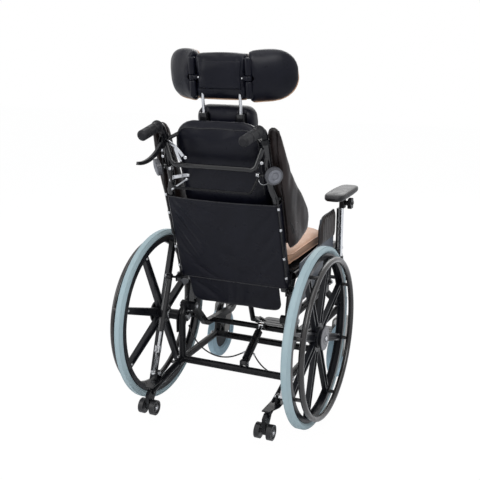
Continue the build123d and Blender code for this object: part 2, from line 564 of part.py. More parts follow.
# ------------------------------------------------------------------ tilting seat frame
SPRING_TOP = (44.0, 455.0)                       # y, z of the side springs' upper pins
STRUT_TOP = (-135.0, 256.0)                      # y, z of the centre strut's upper pin
STRUT_CROSS = (STRUT_TOP[0] - 16, STRUT_TOP[1] - 13)
RAIL_TOP = SEAT_Z + TUBE_D / 2
PLATE_X = SWING_X + SWING_W / 2                  # inner face of the pivot plates
PLATE_T = FRAME_X - TUBE_D / 2 - 1 - PLATE_X
HINGE_X = POCKET_W / 2 + GAP                     # inner face of the hinge plates
HINGE_T = 6.0
COPE_X = TUBE_D / 2 - 2                         # rail centre to the end of a coped tube
SLEEVE_Z = 400.0
SLEEVE_H = 72.0
with BuildPart() as seat_side:
    add(tube([(SEAT_X, SEAT_REAR, SEAT_Z), (SEAT_X, SEAT_FRONT, SEAT_Z)], [], TUBE_D, TUBE_D - 5))
    # pivot plate: from the tilt pivot up to the rear cross tube
    with BuildSketch(side_plane(PLATE_X)):
        with BuildLine():
            Polyline(
                (TILT_Y - 18, TILT_Z - 4), (TILT_Y + 17, TILT_Z - 4), (TILT_Y + 16, TILT_Z + 34),
                (TILT_Y + 3, TILT_Z + 92), (TILT_Y + 3, SEAT_Z + 4), (TILT_Y - 34, SEAT_Z + 4),
                (TILT_Y - 34, TILT_Z + 92), (TILT_Y - 20, TILT_Z + 34), close=True,
            )
        make_face()
        with Locations((TILT_Y, TILT_Z)):
            Circle(18)
        with Locations((TILT_Y - 15, TILT_Z + 118)):
            SlotOverall(46, 14, rotation=90, mode=Mode.SUBTRACT)
    extrude(amount=PLATE_T)
    # hinge plate: carries the back's hinge and the gas spring, lapping the rail's rear end
    with BuildSketch(side_plane(HINGE_X)):
        with BuildLine():
            Polyline(
                (SEAT_REAR - 34, SEAT_Z + 8), (SEAT_REAR, SEAT_Z + 10), (RECLINE_Y + 16, RECLINE_Z + 12),
                (SPRING_TOP[0] + 11, SPRING_TOP[1] + 9), (SPRING_TOP[0] + 11, SPRING_TOP[1] - 11),
                (RECLINE_Y, RECLINE_Z - 15), (RECLINE_Y - 16, RECLINE_Z - 10), (SEAT_REAR - 40, SEAT_Z - 10),
                close=True,
            )
        make_face()
    extrude(amount=HINGE_T)
    add(rod(HINGE_X, SPRING_X + SPRING_D / 2, SPRING_TOP[0], SPRING_TOP[1], 8))
    add(rod(CANE_X - CANE_D / 2 - 3, HINGE_X + HINGE_T + 5, RECLINE_Y, RECLINE_Z, 10))
    add(rod(HINGE_X + HINGE_T, HINGE_X + HINGE_T + 6, RECLINE_Y, RECLINE_Z, 18))
    # armrest sleeve and the perforated strip above it, on an outrigger from the rail
    with BuildSketch(Plane(origin=(ARM_X, ARM_Y, SLEEVE_Z))):
        Circle(POST_D / 2 + 4)
    extrude(amount=SLEEVE_H)
    with BuildSketch(side_plane(ARM_X - POST_D / 2 - 9)):
        with BuildLine():
            Polyline(
                (ARM_Y - 12, SLEEVE_Z), (ARM_Y + 12, SLEEVE_Z), (ARM_Y + 12, 652), (ARM_Y - 12, 652), close=True,
            )
        make_face()
        with Locations(*[(ARM_Y, SLEEVE_Z + SLEEVE_H + 30 + 24 * step) for step in range(7)]):
            Circle(4, mode=Mode.SUBTRACT)
    extrude(amount=6)
    with Locations((SEAT_X + TUBE_D / 2 - 2, ARM_Y, SLEEVE_Z + SLEEVE_H)):
        Box(22, 20, 44, align=(Align.MIN, Align.CENTER, Align.CENTER))
    with Locations((ARM_X, ARM_Y, SLEEVE_Z)):
        Cylinder(
            POST_D / 2 + RUN, SLEEVE_H + 44, align=(Align.CENTER, Align.CENTER, Align.MIN), mode=Mode.SUBTRACT
        )
    # legrest knuckle at the front of the rail
    with BuildSketch(side_plane(SEAT_X - 17)):
        with BuildLine():
            Polyline(
                (SEAT_FRONT + 22, SEAT_Z - 10), (SEAT_FRONT + 22, SEAT_Z + 12), (SEAT_FRONT - 12, SEAT_Z + 10),
                (HANGER_Y - 12, HANGER_Z + 8), (HANGER_Y - 12, HANGER_Z - 8), (HANGER_Y + 8, HANGER_Z - 14),
                close=True,
            )
        make_face()
    extrude(amount=5)
    add(rod(SEAT_X - 17, SEAT_X + 16, HANGER_Y, HANGER_Z, 10))
SWING_PATH = [
    (SWING_X, TILT_Y, TILT_Z), (SWING_X, -101, 246), (SWING_X, -354, 226), (SWING_X, -402, SEAT_Z - 20),
]
with BuildPart() as seat_frame:
    add(seat_side.part)
    mirror(seat_side.part, about=Plane.YZ)
    swing = bar(SWING_PATH, [34, 50], SWING_W, SWING_W)
    add(swing)
    mirror(swing, about=Plane.YZ)
    for side in (-1, 1):
        add(rod(side * (SWING_X - SWING_W / 2), side * (PLATE_X + 1), TILT_Y, TILT_Z, 30))
        add(rod(side * (PLATE_X + PLATE_T + 0.6), side * (SWING_X - 20), TILT_Y, TILT_Z, PIVOT_D + 2 * RUN),
            mode=Mode.SUBTRACT)
    # cross tubes, coped into the inner walls of the rails
    for y, z, d in ((TILT_Y - 19, SEAT_Z - 1, 20), (-402, SEAT_Z - 12, 22)):
        add(rod(COPE_X - SEAT_X, SEAT_X - COPE_X, y, z, d))
    # lower cross tube with the ears of the centre strut
    add(rod(-SWING_X, SWING_X, *STRUT_CROSS, 20))
    for side in (-1, 1):
        with BuildSketch(side_plane(STRUT_X + side * 11 - 2)):
            with BuildLine():
                Polyline(
                    (STRUT_CROSS[0] - 8, STRUT_CROSS[1] + 6), (STRUT_CROSS[0] + 6, STRUT_CROSS[1] - 8),
                    (STRUT_TOP[0] + 7, STRUT_TOP[1] - 5), (STRUT_TOP[0] + 4, STRUT_TOP[1] + 9),
                    (STRUT_TOP[0] - 6, STRUT_TOP[1] + 8), close=True,
                )
            make_face()
        extrude(amount=4)
    add(rod(STRUT_X - 16, STRUT_X + 16, *STRUT_TOP, 8))
    # seat pan: a flat board on the rails with a row of vents
    with BuildSketch(Plane.XY.offset(RAIL_TOP - 1)):
        with Locations((0, (SEAT_REAR + SEAT_FRONT) / 2)):
            RectangleRounded(2 * SEAT_X, SEAT_REAR - SEAT_FRONT - 10, 18)
        with Locations((0, (SEAT_REAR + SEAT_FRONT) / 2)):
            with GridLocations(0, 110, 1, 3):
                SlotOverall(220, 24, mode=Mode.SUBTRACT)
    extrude(amount=PAN_T)

# ------------------------------------------------------------------ side gas springs
SPRING_LENGTH = math.hypot(SPRING_FOOT_Y - SPRING_TOP[0], SPRING_TOP[1] - SPRING_FOOT_Z)
SPRING_BODY_L = 178.0
top_point = (SPRING_X, *SPRING_TOP)
foot_point = (SPRING_X, SPRING_FOOT_Y, SPRING_FOOT_Z)
SPRING_DOWN = between(top_point, foot_point)
SPRING_UP = between(foot_point, top_point)
HEAD_END = 92.0                                  # release head ends this far above the foot pin
with BuildPart() as tilt_spring_body_left:
    with BuildSketch(SPRING_DOWN.offset(9)):
        Circle(SPRING_D / 2)
    extrude(amount=SPRING_BODY_L)
    with BuildSketch(SPRING_DOWN.offset(9 + SPRING_BODY_L)):
        Circle(SPRING_D / 2 - 3)
    extrude(amount=4)
    add(rod(SPRING_X - 8, SPRING_X + 8, *SPRING_TOP, 20))
    with BuildSketch(SPRING_DOWN.offset(70)):
        Circle(SPRING_ROD_D / 2 + RUN)
    extrude(amount=SPRING_BODY_L, mode=Mode.SUBTRACT)
    add(rod(SPRING_X - 9, SPRING_X + 9, *SPRING_TOP, 8 + 2 * SPRING_SLOP), mode=Mode.SUBTRACT)
with BuildPart() as tilt_spring_body_right:
    mirror(tilt_spring_body_left.part, about=Plane.YZ)
with BuildPart() as tilt_spring_rod_left:
    # foot eye, perforated strap, release head and rod, in line
    add(rod(SPRING_X - 8, SPRING_X + 6, SPRING_FOOT_Y, SPRING_FOOT_Z, 18))
    with BuildSketch(SPRING_UP.offset(5)):
        Rectangle(7, 16)
    extrude(amount=HEAD_END - 25)
    with BuildSketch(SPRING_UP.offset(HEAD_END - 22)):
        RectangleRounded(18, 20, 4)
    extrude(amount=22)
    with BuildSketch(SPRING_UP.offset(HEAD_END)):
        Circle(SPRING_ROD_D / 2)
    extrude(amount=SPRING_LENGTH - HEAD_END - 135)
    with BuildSketch(Plane(origin=foot_point, x_dir=SPRING_UP.z_dir, z_dir=(1, 0, 0)).offset(-10)):
        with Locations(*[(18 + 13 * step, 0) for step in range(4)]):
            Circle(3)
    extrude(amount=20, mode=Mode.SUBTRACT)
    add(rod(SPRING_X - 9, SPRING_X + 9, SPRING_FOOT_Y, SPRING_FOOT_Z, 8 + 2 * RUN), mode=Mode.SUBTRACT)
with BuildPart() as tilt_spring_rod_right:
    mirror(tilt_spring_rod_left.part, about=Plane.YZ)

# ------------------------------------------------------------------ centre strut
strut_foot = (STRUT_X, *STRUT_FOOT)
strut_top = (STRUT_X, *STRUT_TOP)
STRUT_LENGTH = (Vector(*strut_top) - Vector(*strut_foot)).length
STRUT_UP = between(strut_foot, strut_top)
STRUT_DOWN = between(strut_top, strut_foot)
STRUT_BODY_L = STRUT_LENGTH - 48
STRUT_HEAD_D = 8 + 2 * STRUT_SLOP
with BuildPart() as centre_strut_body:
    add(rod(STRUT_X - 8, STRUT_X + 8, *STRUT_FOOT, 20))
    with BuildSketch(STRUT_UP.offset(16)):
        Circle(STRUT_D / 2)
    extrude(amount=STRUT_BODY_L)
    with BuildSketch(STRUT_UP.offset(4)):
        Circle(8)
    extrude(amount=14)
    with BuildSketch(STRUT_UP.offset(30)):
        Circle(STRUT_ROD_D / 2 + RUN)
    extrude(amount=STRUT_BODY_L, mode=Mode.SUBTRACT)
    add(rod(STRUT_X - 9, STRUT_X + 9, *STRUT_FOOT, 8 + 2 * RUN), mode=Mode.SUBTRACT)
with BuildPart() as centre_strut_rod:
    with BuildSketch(STRUT_DOWN.offset(7)):
        Circle(STRUT_ROD_D / 2)
    extrude(amount=STRUT_LENGTH - 48)
    add(rod(STRUT_X - 8, STRUT_X + 8, *STRUT_TOP, 8 + 2 * STRUT_SLOP + 8))
    add(rod(STRUT_X - 9, STRUT_X + 9, *STRUT_TOP, STRUT_HEAD_D), mode=Mode.SUBTRACT)

# ------------------------------------------------------------------ seat cushion and side panels
def pad_section(width, height, crown, draw=6.0):
    """Section of a stuffed pad standing on the x axis: crowned top, sides drawn in at the base."""
    w = width / 2
    with BuildSketch() as section:
        with BuildLine():
            Line((-w + draw, 0), (w - draw, 0))
            ThreePointArc((w - draw, 0), (w, height * 0.42), (w - 1.6 * draw, height - crown))
            ThreePointArc((w - 1.6 * draw, height - crown), (0, height), (-w + 1.6 * draw, height - crown))
            ThreePointArc((-w + 1.6 * draw, height - crown), (-w, height * 0.42), (-w + draw, 0))
        make_face()
    return section.sketch


CUSHION_Z = RAIL_TOP - 1 + PAN_T + SOFT
with BuildPart() as seat_cushion:
    for along, width, height in ((0, 0.95, 0.78), (0.16, 1, 1), (0.72, 1, 0.97), (0.95, 0.98, 0.84), (1, 0.95, 0.66)):
        place = Plane(
            origin=(0, SEAT_REAR - 8 - along * CUSHION_D, CUSHION_Z), x_dir=(-1, 0, 0), z_dir=(0, 1, 0)
        )
        with BuildSketch(place):
            add(pad_section(CUSHION_W * width, CUSHION_H * height, CUSHION_CROWN))
    loft()

PANEL_X = SEAT_X + TUBE_D / 2 + SOFT
PAD_TOP = 654.0
STRIP_X = ARM_X - POST_D / 2 - 9
PAD_REAR = ARM_Y + 180
with BuildPart() as panel_left:
    with BuildSketch(side_plane(PANEL_X)):
        with BuildLine():
            Polyline(
                (SEAT_REAR - 8, SEAT_Z - 66), (SEAT_REAR - 40, SEAT_Z - 98), (ARM_Y + 60, SEAT_Z - 98),
                (ARM_Y + 13, SEAT_Z - 60), (ARM_Y + 13, PAD_TOP - 12), (PAD_REAR - 12, PAD_TOP - 12),
                (PAD_REAR, SEAT_Z + 52), (SEAT_REAR - 20, SEAT_Z + 40), close=True,
            )
        make_face()
        fillet(vertices(), 9)
    extrude(amount=3)
    # padded upper part beside the armrest
    with BuildSketch(side_plane(STRIP_X - SOFT)):
        with BuildLine():
            Polyline(
                (ARM_Y + 13, SEAT_Z + 46), (PAD_REAR + 4, SEAT_Z + 46), (PAD_REAR, PAD_TOP - 34),
                (PAD_REAR - 46, PAD_TOP), (ARM_Y + 13, PAD_TOP), close=True,
            )
        make_face()
        fillet(vertices(), 12)
    extrude(amount=-16)
    fillet(faces().sort_by(Axis.X)[0].edges(), 4)
with BuildPart() as side_panels:
    add(panel_left.part)
    mirror(panel_left.part, about=Plane.YZ)

# ------------------------------------------------------------------ armrests
CLAMP_Z = ARM_PAD_Z - 46
with BuildPart() as arm_post_left:
    with BuildSketch(Plane(origin=(ARM_X, ARM_Y, SLEEVE_Z - 55))):
        Circle(POST_D / 2)
    extrude(amount=CLAMP_Z + 40 - SLEEVE_Z + 55)
with BuildPart() as arm_post_right:
    mirror(arm_post_left.part, about=Plane.YZ)
with BuildPart() as arm_pad_left:
    # moulded pad: broad at the rear, drawn in to a nose at the front
    for along, width, height in ((0, 0.72, 16), (0.1, 0.96, 25), (0.45, 1, 28), (0.8, 0.86, 25), (1, 0.56, 15)):
        place = Plane(
            origin=(ARM_X, ARM_Y + ARM_PAD_L / 2 - along * ARM_PAD_L, ARM_PAD_Z - 2), x_dir=(-1, 0, 0), z_dir=(0, 1, 0)
        )
        with BuildSketch(place):
            add(pad_section(ARM_PAD_W * width, height, 5, 5))
    loft()
    # bracket under the pad and the clamp round the post
    with Locations((ARM_X, ARM_Y, ARM_PAD_Z + 7)):
        Box(34, 110, 15, align=(Align.CENTER, Align.CENTER, Align.MAX))
    with BuildSketch(Plane(origin=(ARM_X + 2, ARM_Y, CLAMP_Z))):
        RectangleRounded(20, 26, 4)
    extrude(amount=ARM_PAD_Z - 4 - CLAMP_Z)
    with Locations((ARM_X, ARM_Y, CLAMP_Z - 1)):
        Cylinder(POST_D / 2 + RUN, 41, align=(Align.CENTER, Align.CENTER, Align.MIN), mode=Mode.SUBTRACT)
    add(rod(ARM_X + 2, ARM_X + 30, ARM_Y, CLAMP_Z + 18, 8 + 2 * RUN), mode=Mode.SUBTRACT)
with BuildPart() as arm_pad_right:
    mirror(arm_pad_left.part, about=Plane.YZ)
KNOB_LOBES = 6
with BuildPart() as arm_knob_left:
    add(rod(ARM_X + POST_D / 2 + 0.2, ARM_X + 26, ARM_Y, CLAMP_Z + 18, 8))
    knob_plane = Plane(origin=(ARM_X + 24, ARM_Y, CLAMP_Z + 18), x_dir=(0, 1, 0), z_dir=(1, 0, 0))
    with BuildSketch(knob_plane):
        Circle(17)
        with PolarLocations(15, KNOB_LOBES):
            Circle(6)
    extrude(amount=14)
    add(rod(ARM_X + 12.5, ARM_X + 24, ARM_Y, CLAMP_Z + 18, 18))
with BuildPart() as arm_knob_right:
    mirror(arm_knob_left.part, about=Plane.YZ)

# ------------------------------------------------------------------ legrests and footplates
LEG_L = (HANGER_Z - FOOT_Z - 4) / math.cos(math.radians(HANGER_LEAN))
LEG_END_Y = HANGER_Y - LEG_L * math.sin(math.radians(HANGER_LEAN))
FLIP_X = SEAT_X - 25
FLIP_Z = FOOT_Z + 8
with BuildPart() as legrest_left:
    add(tube([(SEAT_X, HANGER_Y, HANGER_Z), (SEAT_X, LEG_END_Y, FOOT_Z + 4)], [], 22))
    add(rod(SEAT_X - 12 + GAP, SEAT_X + 11, HANGER_Y, HANGER_Z, 28))
    # release catch on the knuckle
    with BuildSketch(side_plane(SEAT_X + 8)):
        with BuildLine():
            Polyline(
                (HANGER_Y - 8, HANGER_Z - 10), (HANGER_Y + 12, HANGER_Z - 6), (HANGER_Y + 2, HANGER_Z - 44),
                (HANGER_Y - 16, HANGER_Z - 56), (HANGER_Y - 24, HANGER_Z - 46), close=True,
            )
        make_face()
    extrude(amount=8)
    # hinge block of the footplate
    with Locations((FLIP_X, LEG_END_Y, FLIP_Z)):
        Box(SEAT_X - FLIP_X, 24, 16, align=(Align.MIN, Align.CENTER, Align.CENTER))
    with BuildSketch(Plane(origin=(FLIP_X, LEG_END_Y + 22, FLIP_Z), x_dir=(1, 0, 0), z_dir=(0, -1, 0))):
        Circle(4)
    extrude(amount=44)
    with BuildSketch(Plane(origin=(FLIP_X, LEG_END_Y + 12, FLIP_Z), x_dir=(1, 0, 0), z_dir=(0, -1, 0))):
        Circle(8)
    extrude(amount=24)
    add(rod(SEAT_X - 30, SEAT_X + 30, HANGER_Y, HANGER_Z, 10 + 2 * RUN), mode=Mode.SUBTRACT)
with BuildPart() as legrest_right:
    mirror(legrest_left.part, about=Plane.YZ)
PLATE_REAR = -545.0
PLATE_FRONT = -690.0
with BuildPart() as footplate_left:
    with BuildSketch(Plane.XY.offset(FOOT_Z - 4)):
        with Locations(((14 + FLIP_X - 14) / 2, (PLATE_REAR + PLATE_FRONT) / 2)):
            RectangleRounded(FLIP_X - 28, PLATE_REAR - PLATE_FRONT, 16)
        with Locations(((14 + FLIP_X - 14) / 2, (PLATE_REAR + PLATE_FRONT) / 2)):
            with GridLocations(0, 26, 1, 4):
                SlotOverall(90, 9, mode=Mode.SUBTRACT)
    extrude(amount=6)
    # raised heel edge
    with BuildSketch(Plane.XY.offset(FOOT_Z + 1)):
        with Locations(((14 + FLIP_X - 14) / 2, PLATE_REAR - 5)):
            RectangleRounded(FLIP_X - 62, 8, 3)
    extrude(amount=9)
    for side in (-1, 1):
        middle = LEG_END_Y + side * 17
        with BuildSketch(Plane(origin=(FLIP_X, middle + 4.5, FLIP_Z), x_dir=(1, 0, 0), z_dir=(0, -1, 0))):
            Circle(8)
            with BuildLine():
                Polyline((-34, -12), (-2, -8), (2, 8), (-6, 6), (-34, -6), close=True)
            make_face()
            Circle(4 + RUN, mode=Mode.SUBTRACT)
        extrude(amount=9)
with BuildPart() as footplate_right:
    mirror(footplate_left.part, about=Plane.YZ)

# ------------------------------------------------------------------ back frame
BEND_LOW = 330.0
BEND_HIGH = 372.0
BOW_Y = 30.0
BOW_Z = 440.0
BAR_HINGE = (30.0, 425.0)
KNOB_AT = (197.0, 27.0, 425.0)
cane = tube(
    on_back((CANE_X, 0, 0), (CANE_X, 0, BEND_LOW), (CANE_TOP_X, 0, BEND_HIGH), (CANE_TOP_X, 0, CANE_H)),
    [60, 60], CANE_D,
)
KNOB_DIR = (Vector(*KNOB_AT) - Vector(CANE_TOP_X, 0, KNOB_AT[2])).normalized()
knob_root = Vector(CANE_TOP_X, 0, KNOB_AT[2])
knob_axis = BACK.from_local_coords(knob_root + KNOB_DIR) - BACK.from_local_coords(knob_root)
HEAD_ARM = [HEAD.from_local_coords((POST_X, 0, -22)), BACK.from_local_coords((CANE_TOP_X - 2, -2, CANE_H - 8))]
GUIDE_H = 30.0
POST_DROP = 96.0
with BuildPart() as back_side_left:
    add(cane)
    # knuckle of the recline hinge
    add(rod(CANE_X - 12, HINGE_X - GAP, RECLINE_Y, RECLINE_Z, 28))
    add(rod(CANE_X - 20, CANE_X + 20, RECLINE_Y, RECLINE_Z, 10 + 2 * RUN), mode=Mode.SUBTRACT)
    # threaded boss for the clamp disc
    with BuildSketch(Plane(origin=BACK.from_local_coords(knob_root + KNOB_DIR * 10.4), z_dir=knob_axis)):
        Circle(9)
        Circle(4 + RUN, mode=Mode.SUBTRACT)
    extrude(amount=9)
    with BuildSketch(Plane(origin=BACK.from_local_coords(knob_root + KNOB_DIR * 9.6), z_dir=knob_axis)):
        Circle(4 + RUN)
    extrude(amount=3, mode=Mode.SUBTRACT)
    # ear and pin of the release bar
    add(tube(on_back((CANE_TOP_X - 7, 7, BAR_HINGE[1]), (CANE_TOP_X - 9, *BAR_HINGE)), [], 8))
    with BuildSketch(back_side(CANE_TOP_X - 24)):
        with Locations(BAR_HINGE):
            Circle(3)
    extrude(amount=14)
    # spacer that carries the side wing
    with BuildSketch(back_side(CANE_X - 6)):
        with Locations((-9, POCKET_TOP + 12)):
            Circle(7)
    extrude(amount=WING_X - CANE_X + 6)
    # headrest guide on its arm
    add(tube(HEAD_ARM, [], 12))
    with BuildSketch(HEAD.offset(-GUIDE_H)):
        with Locations((POST_X, 0)):
            RectangleRounded(26, 24, 5)
    extrude(amount=GUIDE_H)
    add(
        tube(
            [HEAD.from_local_coords((POST_X, 0, -GUIDE_H - 30)), HEAD.from_local_coords((POST_X, 0, 5))],
            [], HEAD_POST_D + 2 * RUN,
        ),
        mode=Mode.SUBTRACT,
    )
with BuildPart() as back_frame:
    add(back_side_left.part)
    mirror(back_side_left.part, about=Plane.YZ)
    # stretcher bow behind the canes
    add(
        tube(
            on_back(
                (CANE_TOP_X - 8, 6, CANE_H - 14), (CANE_TOP_X - 31, BOW_Y, BOW_Z),
                (31 - CANE_TOP_X, BOW_Y, BOW_Z), (8 - CANE_TOP_X, 6, CANE_H - 14),
            ),
            [24, 24], 16,
        )
    )
    # cross tube between the canes under the cover
    add(tube(on_back((-CANE_X, 0, 66), (CANE_X, 0, 66)), [], 16))
    # bores for the tubes of the push handles, and room for their collars
    for x in (-CANE_TOP_X, CANE_TOP_X):
        add(tube(on_back((x, 0, BEND_HIGH + 22), (x, 0, CANE_H + 5)), [], CANE_BORE), mode=Mode.SUBTRACT)
        add(tube(on_back((x, 0, CANE_H), (x, 0, CANE_H + 90)), [], 2 * (COLLAR_R + GAP)), mode=Mode.SUBTRACT)
with BuildPart() as release_bar:
    BAR_PATH = on_back(
        (CANE_TOP_X - 19, *BAR_HINGE), (CANE_TOP_X - 36, 68, 380), (36 - CANE_TOP_X, 68, 380),
        (19 - CANE_TOP_X, *BAR_HINGE),
    )
    add(tube(BAR_PATH, [18, 18], 8))
    for side in (-1, 1):
        with BuildSketch(back_side(side * (CANE_TOP_X - 19.4) - 4)):
            with Locations(BAR_HINGE):
                Circle(7)
        extrude(amount=8)
        with BuildSketch(back_side(side * (CANE_TOP_X - 19) - 12)):
            with Locations(BAR_HINGE):
                Circle(3 + RUN)
        extrude(amount=24, mode=Mode.SUBTRACT)

# ------------------------------------------------------------------ push handles, grips, discs and lever
HANDLE_H = CANE_H + HANDLE_UP
HANDLE_END = (CANE_TOP_X - 7, 133.0, HANDLE_H + 19)
HANDLE_D = CANE_BORE - 2 * RUN
LEVER_PIVOT = (30.0, CANE_H - 10)
handle_start, handle_corner, handle_end = on_back(
    (CANE_TOP_X, 0, BEND_HIGH + 24), (CANE_TOP_X, 0, HANDLE_H), HANDLE_END
)
grip_axis = (handle_end - handle_corner).normalized()
GRIP_FROM = (handle_end - handle_corner).length - GRIP_L
with BuildPart() as push_handle_right:
    add(mirror(tube([handle_start, handle_corner, handle_end], [26], HANDLE_D), about=Plane.YZ, mode=Mode.PRIVATE))
    with BuildSketch(BACK.offset(CANE_H + GAP)):
        with Locations((-CANE_TOP_X, 0)):
            Circle(COLLAR_R)
    extrude(amount=15)
with BuildPart() as push_handle_left:
    mirror(push_handle_right.part, about=Plane.YZ)
    # lever bracket that hangs from the collar, slotted for the lever
    with BuildSketch(back_side(CANE_TOP_X - 9)):
        with BuildLine():
            Polyline(
                (2, CANE_H + 2), (2, CANE_H + 14), (20, CANE_H + 14), (40, CANE_H - 3), (38, CANE_H - 19),
                (24, CANE_H - 23), (15, CANE_H - 15), (14, CANE_H + 2), close=True,
            )
        make_face()
    extrude(amount=14)
    with BuildSketch(back_side(CANE_TOP_X - 6.2)):
        with Locations(LEVER_PIVOT):
            Rectangle(24, 44)
    extrude(amount=8.4, mode=Mode.SUBTRACT)
    with BuildSketch(back_side(CANE_TOP_X - 9)):
        with Locations(LEVER_PIVOT):
            Circle(3)
    extrude(amount=14)
with BuildPart() as grip_left:
    grip_plane = Plane(
        origin=handle_corner + grip_axis * GRIP_FROM, x_dir=grip_axis, z_dir=grip_axis.cross(Vector(0, 0, 1))
    )
    with BuildSketch(grip_plane):
        with BuildLine():
            Polyline(
                (0, HANDLE_D / 2 + RUN), (0, GRIP_D / 2 + 3), (4, GRIP_D / 2 + 3), (6, GRIP_D / 2), (30, GRIP_D / 2),
                (32, GRIP_D / 2 - 2), (36, GRIP_D / 2 - 2), (38, GRIP_D / 2), (66, GRIP_D / 2),
                (68, GRIP_D / 2 - 2), (72, GRIP_D / 2 - 2), (74, GRIP_D / 2), (GRIP_L - 2, GRIP_D / 2),
                (GRIP_L + 5, GRIP_D / 2 - 6), (GRIP_L + 5, 0), (GRIP_L + RUN, 0), (GRIP_L + RUN, HANDLE_D / 2 + RUN), close=True,
            )
        make_face()
    revolve(axis=Axis(origin=grip_plane.origin, direction=grip_axis))
with BuildPart() as grip_right:
    mirror(grip_left.part, about=Plane.YZ)
knob_centre = BACK.from_local_coords(Vector(*KNOB_AT))
with BuildPart() as handle_knob_left:
    with BuildSketch(Plane(origin=knob_centre - knob_axis * 6, z_dir=knob_axis)):
        Circle(KNOB_D / 2)
    extrude(amount=13)
    with BuildSketch(Plane(origin=knob_centre + knob_axis * 7, z_dir=knob_axis)):
        Circle(KNOB_D / 2 - 6)
        Circle(8, mode=Mode.SUBTRACT)
    extrude(amount=-3, mode=Mode.SUBTRACT)
    with BuildSketch(Plane(origin=BACK.from_local_coords(knob_root + KNOB_DIR * 11.2), z_dir=knob_axis)):
        Circle(4)
    extrude(amount=24)
with BuildPart() as handle_knob_right:
    mirror(handle_knob_left.part, about=Plane.YZ)
with BuildPart() as hand_lever:
    with BuildSketch(back_side(CANE_TOP_X - 6)):
        with BuildLine():
            Line((20, CANE_H - 4), (36, CANE_H - 2))
            ThreePointArc((36, CANE_H - 2), (100, CANE_H - 16), (174, CANE_H + 1))
            Line((174, CANE_H + 1), (180, CANE_H - 7))
            ThreePointArc((180, CANE_H - 7), (104, CANE_H - 29), (34, CANE_H - 20))
            Line((34, CANE_H - 20), (20, CANE_H - 16))
            Line((20, CANE_H - 16), (20, CANE_H - 4))
        make_face()
        with Locations(LEVER_PIVOT):
            Circle(9)
            Circle(3 + RUN, mode=Mode.SUBTRACT)
    extrude(amount=8)

# ------------------------------------------------------------------ back cushion, cover and wings
BACK_REAR = -CANE_D / 2 - 1.2
with BuildPart() as back_cushion:
    # rear panel: rounded upper corners, flat back, crowned front with a lumbar swell
    with BuildSketch(Plane(origin=BACK.from_local_coords((0, BACK_REAR, 0)), x_dir=(-1, 0, 0), z_dir=BACK.y_dir)):
        half = BACK_W / 2
        with BuildLine():
            Line((-half, BACK_BOTTOM), (half, BACK_BOTTOM))
            Line((half, BACK_BOTTOM), (half + 3, 440))
            ThreePointArc((half + 3, 440), (half - 8, 512), (half - 50, BACK_TOP + 2))
            ThreePointArc((half - 50, BACK_TOP + 2), (0, BACK_TOP + 8), (50 - half, BACK_TOP + 2))
            ThreePointArc((50 - half, BACK_TOP + 2), (8 - half, 512), (-half - 3, 440))
            Line((-half - 3, 440), (-half, BACK_BOTTOM))
        make_face()
    extrude(amount=-150)
    with BuildSketch(back_side(-BACK_W / 2 - 8)):
        with BuildLine():
            Line((BACK_REAR, BACK_BOTTOM), (BACK_REAR, BACK_TOP - 34))
            ThreePointArc((BACK_REAR, BACK_TOP - 34), (BACK_REAR - 6, BACK_TOP), (BACK_REAR - 26, BACK_TOP + 8))
            ThreePointArc((BACK_REAR - 26, BACK_TOP + 8), (-66, BACK_TOP - 4), (-88, BACK_TOP - 60))
            ThreePointArc((-88, BACK_TOP - 60), (-104, 420), (-116, 250))
            ThreePointArc((-116, 250), (-117, 180), (-96, BACK_BOTTOM + 10))
            Line((-96, BACK_BOTTOM + 10), (-80, BACK_BOTTOM))
            Line((-80, BACK_BOTTOM), (BACK_REAR, BACK_BOTTOM))
        make_face()
    extrude(amount=BACK_W + 16, mode=Mode.INTERSECT)
    # plan: crowned front, rounded sides
    with BuildSketch(BACK.offset(BACK_BOTTOM - 5)):
        with BuildLine():
            Line((-half + 2, BACK_REAR), (half - 2, BACK_REAR))
            ThreePointArc((half - 2, BACK_REAR), (half + 3, -50), (half - 16, -104))
            ThreePointArc((half - 16, -104), (0, -142), (-half + 16, -104))
            ThreePointArc((-half + 16, -104), (-half - 3, -50), (-half + 2, BACK_REAR))
        make_face()
    extrude(amount=BACK_TOP - BACK_BOTTOM + 60, mode=Mode.INTERSECT)
    # neck roll in front of the headrest posts, with rounded ends
    with BuildSketch(Plane(origin=BACK.from_local_coords((0, -74, 0)), x_dir=(-1, 0, 0), z_dir=BACK.y_dir)):
        with Locations((0, (ROLL_LOW + ROLL_TOP) / 2)):
            RectangleRounded(ROLL_W, ROLL_TOP - ROLL_LOW, 30)
    extrude(amount=-78)
    fillet(faces().sort_by(Axis((0, 0, 0), BACK.y_dir))[0].edges(), 16)
    for side in (-1, 1):
        arm_start = HEAD.from_local_coords((side * POST_X, 0, -22))
        arm_end = BACK.from_local_coords((side * (CANE_TOP_X - 2), -2, CANE_H - 8))
        add(tube([arm_start, arm_end], [], 12 + 2 * SOFT), mode=Mode.SUBTRACT)
        with BuildSketch(HEAD.offset(-GUIDE_H - SOFT)):
            with Locations((side * POST_X, 0)):
                Rectangle(26 + 2 * SOFT, 24 + 2 * SOFT)
        extrude(amount=90, mode=Mode.SUBTRACT)
        with BuildSketch(HEAD.offset(-POST_DROP - 6)):
            with Locations((side * POST_X, 0)):
                Circle(HEAD_POST_D / 2 + SOFT)
        extrude(amount=POST_DROP, mode=Mode.SUBTRACT)
